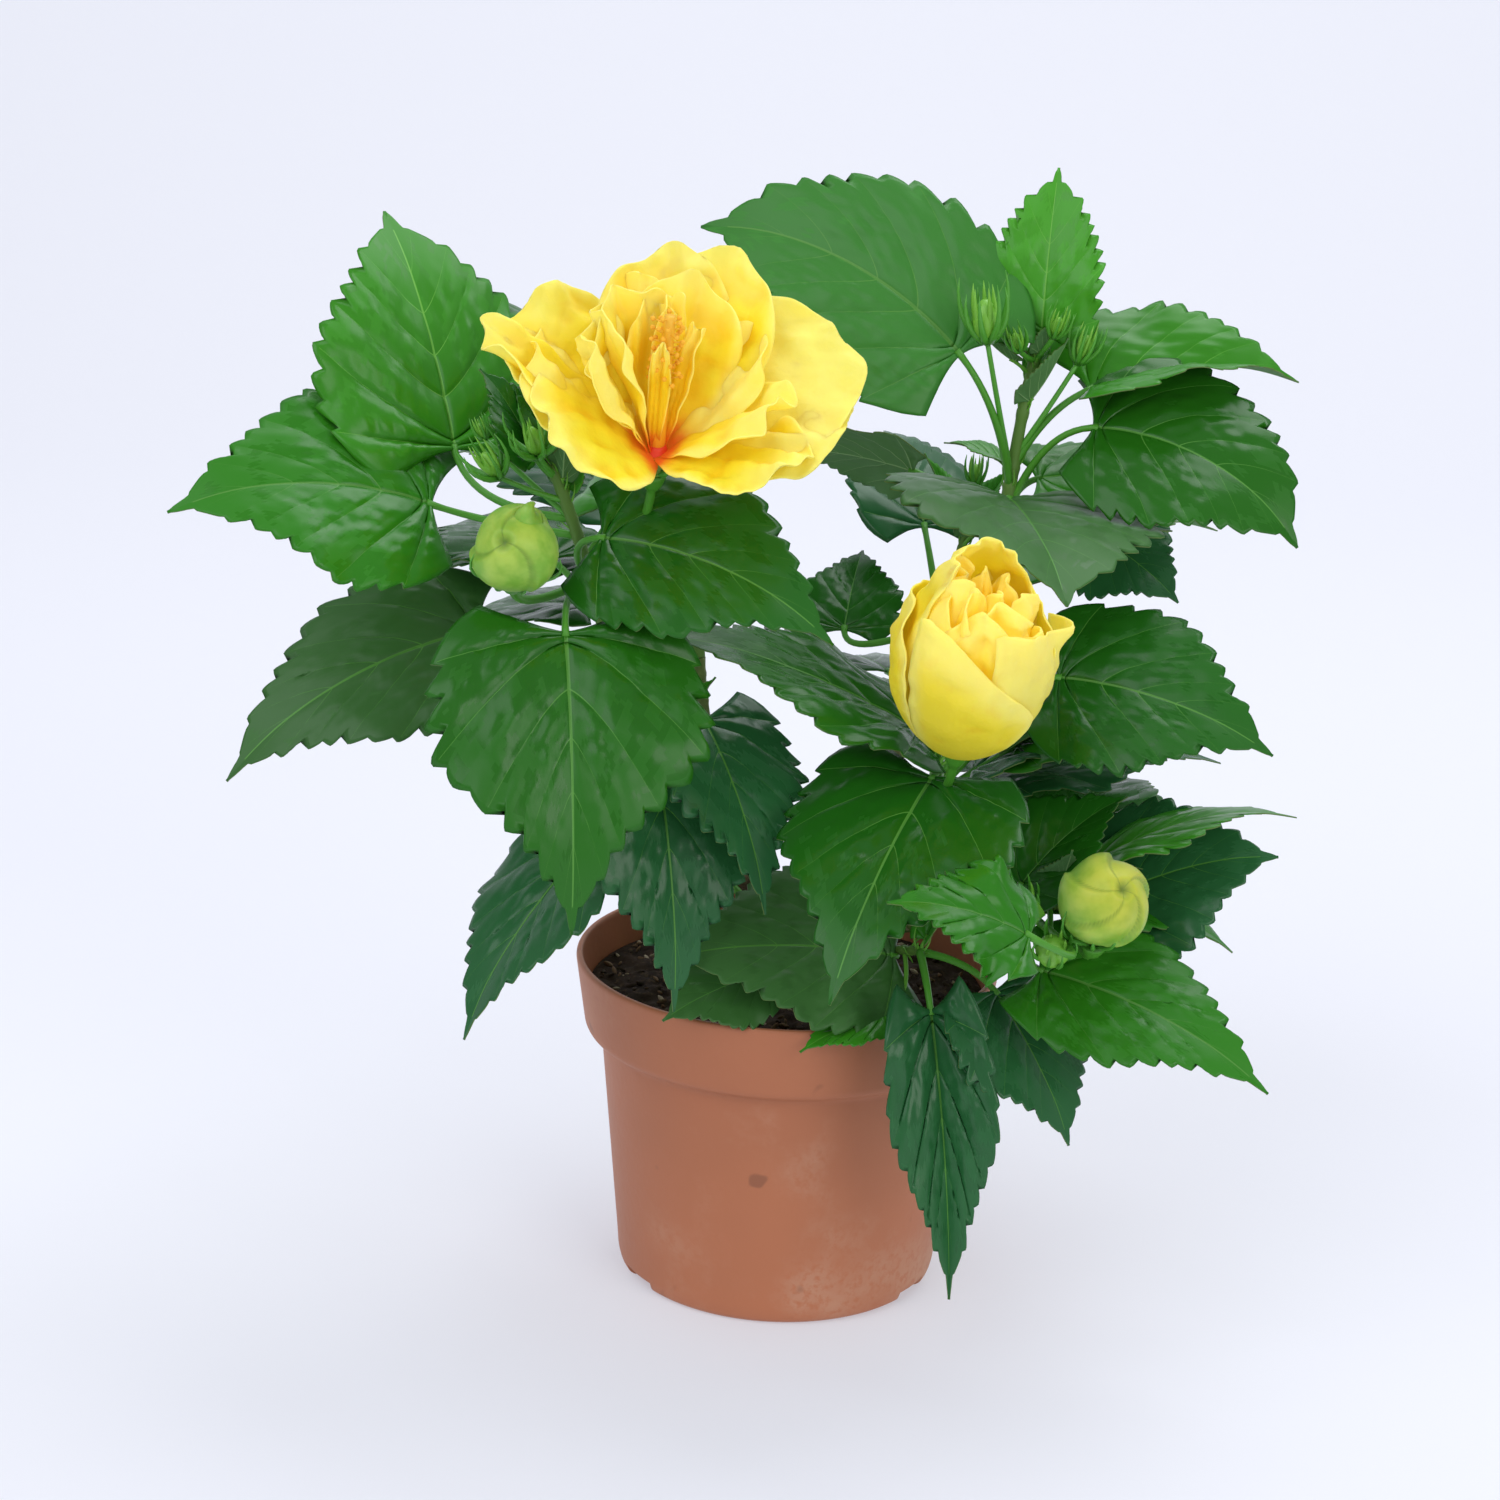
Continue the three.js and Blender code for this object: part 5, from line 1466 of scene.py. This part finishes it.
def turned(profile, angles):
    """A closed lathe turning of (radius, height) points that starts and ends on the axis."""
    rings = np.array(profile[1:-1], float)
    r, z = rings[:, :1], rings[:, 1:]
    points = np.stack([r * np.cos(angles), r * np.sin(angles), z + 0 * angles], axis=-1)
    points, (wall, foot, head) = tube(points, [[0, 0, profile[0][1]], [0, 0, profile[-1][1]]])
    return points, [wall[:, (0, 3, 2, 1)], foot[:, (0, 2, 1)], head[:, (0, 2, 1)]]


def softened(profile, radius):
    """The profile with a small round at each corner off the axis."""
    rounded = [profile[0]]
    for before, corner, after in zip(profile, profile[1:], profile[2:]):
        before, corner, after = (np.array(p, float) for p in (before, corner, after))
        back = min(radius, 0.35 * np.linalg.norm(before - corner))
        ahead = min(radius, 0.35 * np.linalg.norm(after - corner))
        start = corner + (before - corner) / max(np.linalg.norm(before - corner), 1e-6) * back
        end = corner + (after - corner) / max(np.linalg.norm(after - corner), 1e-6) * ahead
        for t in (0.0, 0.33, 0.67, 1.0):
            rounded.append(tuple(start * (1 - t) ** 2 + corner * 2 * t * (1 - t) + end * t * t))
    return [*rounded, profile[-1]]


# The pot below its rim, in mm, as in the part, the round of its corners and the number of its sides.
POT = {
    "collar": 22,
    "collar_foot": 61.9,
    "drop": 4,
    "body_top": 56.6,
    "body_foot": 50,
    "body_foot_height": 10,
    "foot": 46.5,
    "ring_inner": 43.5,
    "wall": 2,
    "floor": 2.2,
    "disc": 31,
    "groove": 4,
    "corner": 1.2,
    "sides": 144,
}
NOTCH = {"count": 3, "half_width": 7, "height": 3.6}
# Peat: its level under the rim, the rise at its middle, its play in the pot, its grid, clods and crumbs.
SOIL = {
    "below_rim": 11.5,
    "crown": 3.2,
    "gap": 0.35,
    "sides": 200,
    "rings": 64,
    "clods": 1500,
    "crumbs": 420,
}


def make_pot(settings):
    """The nursery pot: collar, tapering body, notched foot ring and sunken base."""
    rim, height = settings.rim_radius / MM, settings.height / MM
    collar_foot = height - POT["collar"]
    body_top = collar_foot - POT["drop"]
    wall, groove = POT["wall"], POT["groove"]
    profile = [
        (0, 0),
        (POT["disc"], 0),
        (POT["disc"] + 3, groove),
        (POT["ring_inner"] - 1, groove),
        (POT["ring_inner"], 0),
        (POT["foot"], 0),
        (POT["foot"] + 2.2, 1.6),
        (POT["body_foot"] - 0.4, POT["body_foot_height"] / 2),
        (POT["body_foot"], POT["body_foot_height"]),
        (POT["body_top"], body_top),
        (POT["body_top"] + 1.4, body_top + 1.8),
        (POT["collar_foot"] - 1, collar_foot - 1.2),
        (POT["collar_foot"], collar_foot + 0.6),
        (rim, height - 1),
        (rim - 0.5, height),
        (rim - wall + 0.2, height),
        (rim - wall - 0.2, height - 1),
        (POT["collar_foot"] - wall, collar_foot + 1),
        (POT["body_top"] - wall, body_top),
        (POT["body_foot"] - wall, POT["body_foot_height"]),
        (POT["foot"] - wall + 1, groove + wall),
        (POT["disc"] + 2, groove + wall),
        (POT["disc"] - 1, POT["floor"]),
        (0, POT["floor"]),
    ]
    half = math.asin(NOTCH["half_width"] / POT["foot"])
    middles = [math.pi / 2 + TURN * k / NOTCH["count"] for k in range(NOTCH["count"])]
    edges = [m + s * (half + d) for m in middles for s in (-1, 1) for d in (-0.002, 0.002)]
    even = np.linspace(0, TURN, POT["sides"], endpoint=False)
    angles = np.unique(np.round(np.mod(np.concatenate([even, edges]), TURN), 5))
    points, faces = turned(softened(profile, POT["corner"]), angles)
    angle = np.arctan2(points[:, 1], points[:, 0])
    out = np.hypot(points[:, 0], points[:, 1])
    ring = (out > POT["ring_inner"] - 1.5) & (out < POT["body_foot"]) & (points[:, 2] < NOTCH["height"])
    for middle in middles:
        off = np.abs((angle - middle + math.pi) % TURN - math.pi)
        points[(off < half) & ring, 2] = NOTCH["height"]
    piece = Piece()
    piece.add(points, faces)
    piece.finish("nursery_pot", [pot_finish(settings)], "terracotta_plastic", ["pot"])


def soil_top(radius, rim, height):
    """Height of the peat, which rises a little towards the stem."""
    share = radius / (rim - POT["wall"])
    return height - SOIL["below_rim"] + SOIL["crown"] * (1 - share * share)


def make_soil(settings):
    """Peat with clods, crumbs and fibres, under the rim of the pot."""
    rim, height = settings.rim_radius / MM, settings.height / MM
    rng = np.random.default_rng(3)
    sides = SOIL["sides"]
    gap, wall = SOIL["gap"], POT["wall"]
    collar_foot = height - POT["collar"]
    body_top = collar_foot - POT["drop"]
    edge = soil_top(rim - wall, rim, height)
    rise = (edge - collar_foot) / POT["collar"]
    edge_radius = POT["collar_foot"] + (rim - POT["collar_foot"]) * rise - wall - 0.2
    lower = [
        (0, POT["floor"] + gap),
        (POT["disc"] - 1.2, POT["floor"] + gap),
        (POT["disc"] + 1.8, POT["groove"] + wall + gap),
        (POT["foot"] - wall + 0.6, POT["groove"] + wall + gap),
        (POT["body_foot"] - wall - gap, POT["body_foot_height"]),
        (POT["body_top"] - wall - gap, body_top),
        (POT["collar_foot"] - wall - 2 * gap, collar_foot + 1),
        (edge_radius - gap, edge),
    ]
    radii = np.linspace(edge_radius - gap - 0.8, 1, SOIL["rings"])
    profile = [*lower, *((r, soil_top(r, rim, height)) for r in radii), (0, soil_top(0, rim, height))]
    points, faces = turned(profile, np.linspace(0, TURN, sides, endpoint=False))
    top = points[(len(lower) - 1) * sides : len(points) - 2]
    clods = rng.uniform(-1, 1, (SOIL["clods"], 2)) * edge_radius
    sizes = rng.uniform(0.8, 3.2, SOIL["clods"])
    bumps = np.zeros(len(top))
    for spot, size in zip(clods, sizes):
        near = 1 - ((top[:, 0] - spot[0]) ** 2 + (top[:, 1] - spot[1]) ** 2) / size**2
        bumps = np.maximum(bumps, 0.55 * size * np.sqrt(np.maximum(near, 0)))
    fade = smooth(edge_radius - np.hypot(top[:, 0], top[:, 1]), 0.0, 3.0)
    top[:, 2] += (bumps - 0.8) * fade
    piece = Piece()
    piece.add(points, faces)
    for _ in range(SOIL["crumbs"]):
        turn = rng.uniform(0, TURN)
        out = edge_radius * 0.95 * math.sqrt(rng.random())
        spot = np.array([out * math.cos(turn), out * math.sin(turn), soil_top(out, rim, height) + 0.5])
        size = rng.uniform(0.5, 1.9)
        ahead = unit(rng.normal(size=3) * [1, 1, 0.4])

        def chunk(t, angle):
            return size * 0.45 * np.sin(math.pi * (0.12 + 0.76 * t)) * (1 + 0.25 * np.sin(3 * angle))

        points, faces = limb(Curve(spot - ahead * size, spot + ahead * size), chunk, 7, 4)
        piece.add(points, faces, int(rng.choice((1, 1, 2, 3))))
    finishes = [
        peat_finish(settings),
        plain("crumb", "3a2b20", 0.95),
        plain("fibre", "6b523a", 0.9),
        plain("pale_speck", "a3937d", 0.9),
    ]
    piece.finish("peat", finishes, "peat", ["soil"])


# The floor runs from behind the camera to a wall behind the pot, with a round bend between, in metres.
FLOOR = {"near": -3.0, "bend": 1.1, "bend_radius": 0.7, "top": 3.0, "half_width": 4.0}
FLOOR_GLOW = ("ebedf8", 0.4)
SKY = ("f0f2fc", 0.45)
# Soft boxes: place, aim, width and height in metres, watts and colour.
BOXES = {
    "window_box": ((-1.1, -1.3, 1.7), (0, 0, 0.2), 2.0, 1.8, 26, "f6f9ff"),
    "front_box": ((1.2, -1.7, 1.0), (0, 0, 0.15), 1.4, 1.1, 15, "fffefa"),
    "top_box": ((0.5, 0.6, 1.9), (0, 0, 0.1), 1.5, 1.1, 19, "f8faff"),
}


def stand(name, data, at, side, up, back):
    """Puts a lamp or camera in the scene, with its own three axes along the given directions."""
    made = bpy.data.objects.new(name, data)
    rows = np.stack([side, up, back], axis=1)
    made.matrix_world = Matrix([[*row, place] for row, place in zip(rows, at)] + [[0, 0, 0, 1]])
    bpy.context.scene.collection.objects.link(made)
    return made


def make_floor(settings):
    """A pale sheet that turns up into a wall."""
    bend, radius = FLOOR["bend"], FLOOR["bend_radius"]
    arc = np.linspace(0.1, math.pi / 2, 16)
    profile = [
        (FLOOR["near"], 0.0),
        (bend, 0.0),
        *((bend + radius * math.sin(a), radius - radius * math.cos(a)) for a in arc),
        (bend + radius, FLOOR["top"]),
    ]
    points = [(x, y, z) for y, z in profile for x in (-FLOOR["half_width"], FLOOR["half_width"])]
    faces = [(2 * k, 2 * k + 1, 2 * k + 3, 2 * k + 2) for k in range(len(profile) - 1)]
    mesh = bpy.data.meshes.new("floor")
    mesh.from_pydata(points, [], faces)
    mesh.polygons.foreach_set("use_smooth", np.ones(len(faces), bool))
    code, strength = FLOOR_GLOW
    finish = Finish(
        "floor", base_color=tuple(settings.floor), roughness=0.9, specular=0.1,
        emission_color=tint(code), emission_strength=strength,
    )
    mesh.materials.append(finish.material)
    floor = bpy.data.objects.new("floor", mesh)
    bpy.context.scene.collection.objects.link(floor)


def make_stage(settings):
    """The floor, soft light and the camera."""
    scene = bpy.context.scene
    make_floor(settings)
    world = bpy.data.worlds.new("studio")
    world.use_nodes = True
    background = world.node_tree.nodes["Background"].inputs
    background["Color"].default_value = (*tint(SKY[0]), 1.0)
    background["Strength"].default_value = SKY[1]
    scene.world = world
    scene.view_settings.view_transform = "Standard"

    for name, (at, aim, width, height, watts, code) in BOXES.items():
        light = bpy.data.lights.new(name, "AREA")
        light.shape = "RECTANGLE"
        light.size = width
        light.size_y = height
        light.energy = watts
        light.color = tint(code)
        back = unit(np.array(at, float) - aim)
        side = unit(np.cross([0, 0, 1.0], back))
        stand(name, light, at, side, np.cross(back, side), back)

    elevation, roll = settings.elevation, settings.roll
    back = np.array([0, -math.cos(elevation), math.sin(elevation)])
    right = np.array([1.0, 0, 0])
    up = np.cross(right, -back)
    side = right * math.cos(roll) + up * math.sin(roll)
    top = up * math.cos(roll) - right * math.sin(roll)
    lens = bpy.data.cameras.new("camera")
    lens.sensor_fit = "HORIZONTAL"
    lens.sensor_width = 36
    lens.lens = settings.lens
    at = np.array(settings.aim) + back * settings.distance
    scene.camera = stand("camera", lens, at, side, top, back)


class TurnPot(bpy.types.Operator):
    """Turn the nursery pot with its collar and notched foot"""

    bl_idname = "hibiscus.turn_pot"
    bl_label = "Turn Pot"
    bl_options = {"REGISTER", "UNDO"}

    def execute(self, context):
        make_pot(context.scene.hibiscus_pot)
        return {"FINISHED"}


class FillSoil(bpy.types.Operator):
    """Fill the pot with crumbly peat"""

    bl_idname = "hibiscus.fill_soil"
    bl_label = "Fill Soil"
    bl_options = {"REGISTER", "UNDO"}

    def execute(self, context):
        make_soil(context.scene.hibiscus_pot)
        return {"FINISHED"}


class GrowLimbs(bpy.types.Operator):
    """Grow the main stem and the boughs with their bark"""

    bl_idname = "hibiscus.grow_limbs"
    bl_label = "Grow Limbs"
    bl_options = {"REGISTER", "UNDO"}

    def execute(self, context):
        make_limbs(context.scene.hibiscus_plant)
        return {"FINISHED"}


class GrowLeaves(bpy.types.Operator):
    """Grow the toothed leaves of every mass"""

    bl_idname = "hibiscus.grow_leaves"
    bl_label = "Grow Leaves"
    bl_options = {"REGISTER", "UNDO"}

    def execute(self, context):
        settings = context.scene.hibiscus_plant
        patterns = {
            "near": LeafPattern(settings.near_columns, settings),
            "far": LeafPattern(settings.far_columns, settings),
            "young": LeafPattern(YOUNG_COLUMNS, settings),
        }
        finishes = leaf_finishes()
        for name in MASSES:
            make_leaves(name, finishes, patterns)
        return {"FINISHED"}


class GrowTwigs(bpy.types.Operator):
    """Grow the green stems, leaf stalks and flower stalks"""

    bl_idname = "hibiscus.grow_twigs"
    bl_label = "Grow Twigs"
    bl_options = {"REGISTER", "UNDO"}

    def execute(self, context):
        make_twigs()
        return {"FINISHED"}


class GrowBuds(bpy.types.Operator):
    """Grow the pointed buds and the two round buds"""

    bl_idname = "hibiscus.grow_buds"
    bl_label = "Grow Buds"
    bl_options = {"REGISTER", "UNDO"}

    def execute(self, context):
        make_pointed_buds()
        for name in ROUND_BUDS:
            make_round_bud(name)
        return {"FINISHED"}


class OpenBloom(bpy.types.Operator):
    """Open the large double bloom"""

    bl_idname = "hibiscus.open_bloom"
    bl_label = "Open Bloom"
    bl_options = {"REGISTER", "UNDO"}

    def execute(self, context):
        make_open_bloom(context.scene.hibiscus_bloom)
        return {"FINISHED"}


class RollBloom(bpy.types.Operator):
    """Roll the petals of the half-open bloom"""

    bl_idname = "hibiscus.roll_bloom"
    bl_label = "Roll Half-Open Bloom"
    bl_options = {"REGISTER", "UNDO"}

    def execute(self, context):
        make_half_open_bloom(context.scene.hibiscus_bloom)
        return {"FINISHED"}


class SetStage(bpy.types.Operator):
    """Set the floor, the soft boxes and the camera"""

    bl_idname = "hibiscus.set_stage"
    bl_label = "Set Stage"
    bl_options = {"REGISTER", "UNDO"}

    def execute(self, context):
        make_stage(context.scene.hibiscus_stage)
        return {"FINISHED"}


OPERATORS = (
    TurnPot, FillSoil, GrowLimbs, GrowTwigs, GrowLeaves, GrowBuds, OpenBloom, RollBloom, SetStage,
)
GROUPS = {
    "hibiscus_pot": PotSettings,
    "hibiscus_plant": PlantSettings,
    "hibiscus_bloom": BloomSettings,
    "hibiscus_stage": StageSettings,
}


class HibiscusPanel(bpy.types.Panel):
    """Lists the settings and the pieces in the order in which they are made"""

    bl_idname = "VIEW3D_PT_hibiscus"
    bl_label = "Potted Hibiscus"
    bl_space_type = "VIEW_3D"
    bl_region_type = "UI"
    bl_category = "Hibiscus"

    def draw(self, context):
        for name, group in GROUPS.items():
            column = self.layout.column(align=True)
            column.label(text=group.__doc__)
            for key in group.__annotations__:
                column.prop(getattr(context.scene, name), key)
        for operator in OPERATORS:
            self.layout.operator(operator.bl_idname)


def register():
    """Makes the settings, operators and panel known."""
    for group in (*GROUPS.values(), *OPERATORS, HibiscusPanel):
        bpy.utils.register_class(group)
    for name, group in GROUPS.items():
        setattr(bpy.types.Scene, name, PointerProperty(type=group))


def unregister():
    """Takes them back again."""
    for name in GROUPS:
        delattr(bpy.types.Scene, name)
    for group in reversed((*GROUPS.values(), *OPERATORS, HibiscusPanel)):
        bpy.utils.unregister_class(group)


def main():
    """Makes every piece through its operator."""
    register()
    for operator in OPERATORS:
        group, name = operator.bl_idname.split(".")
        getattr(getattr(bpy.ops, group), name)()
    bpy.context.view_layer.update()


if __name__ == "__main__":
    main()
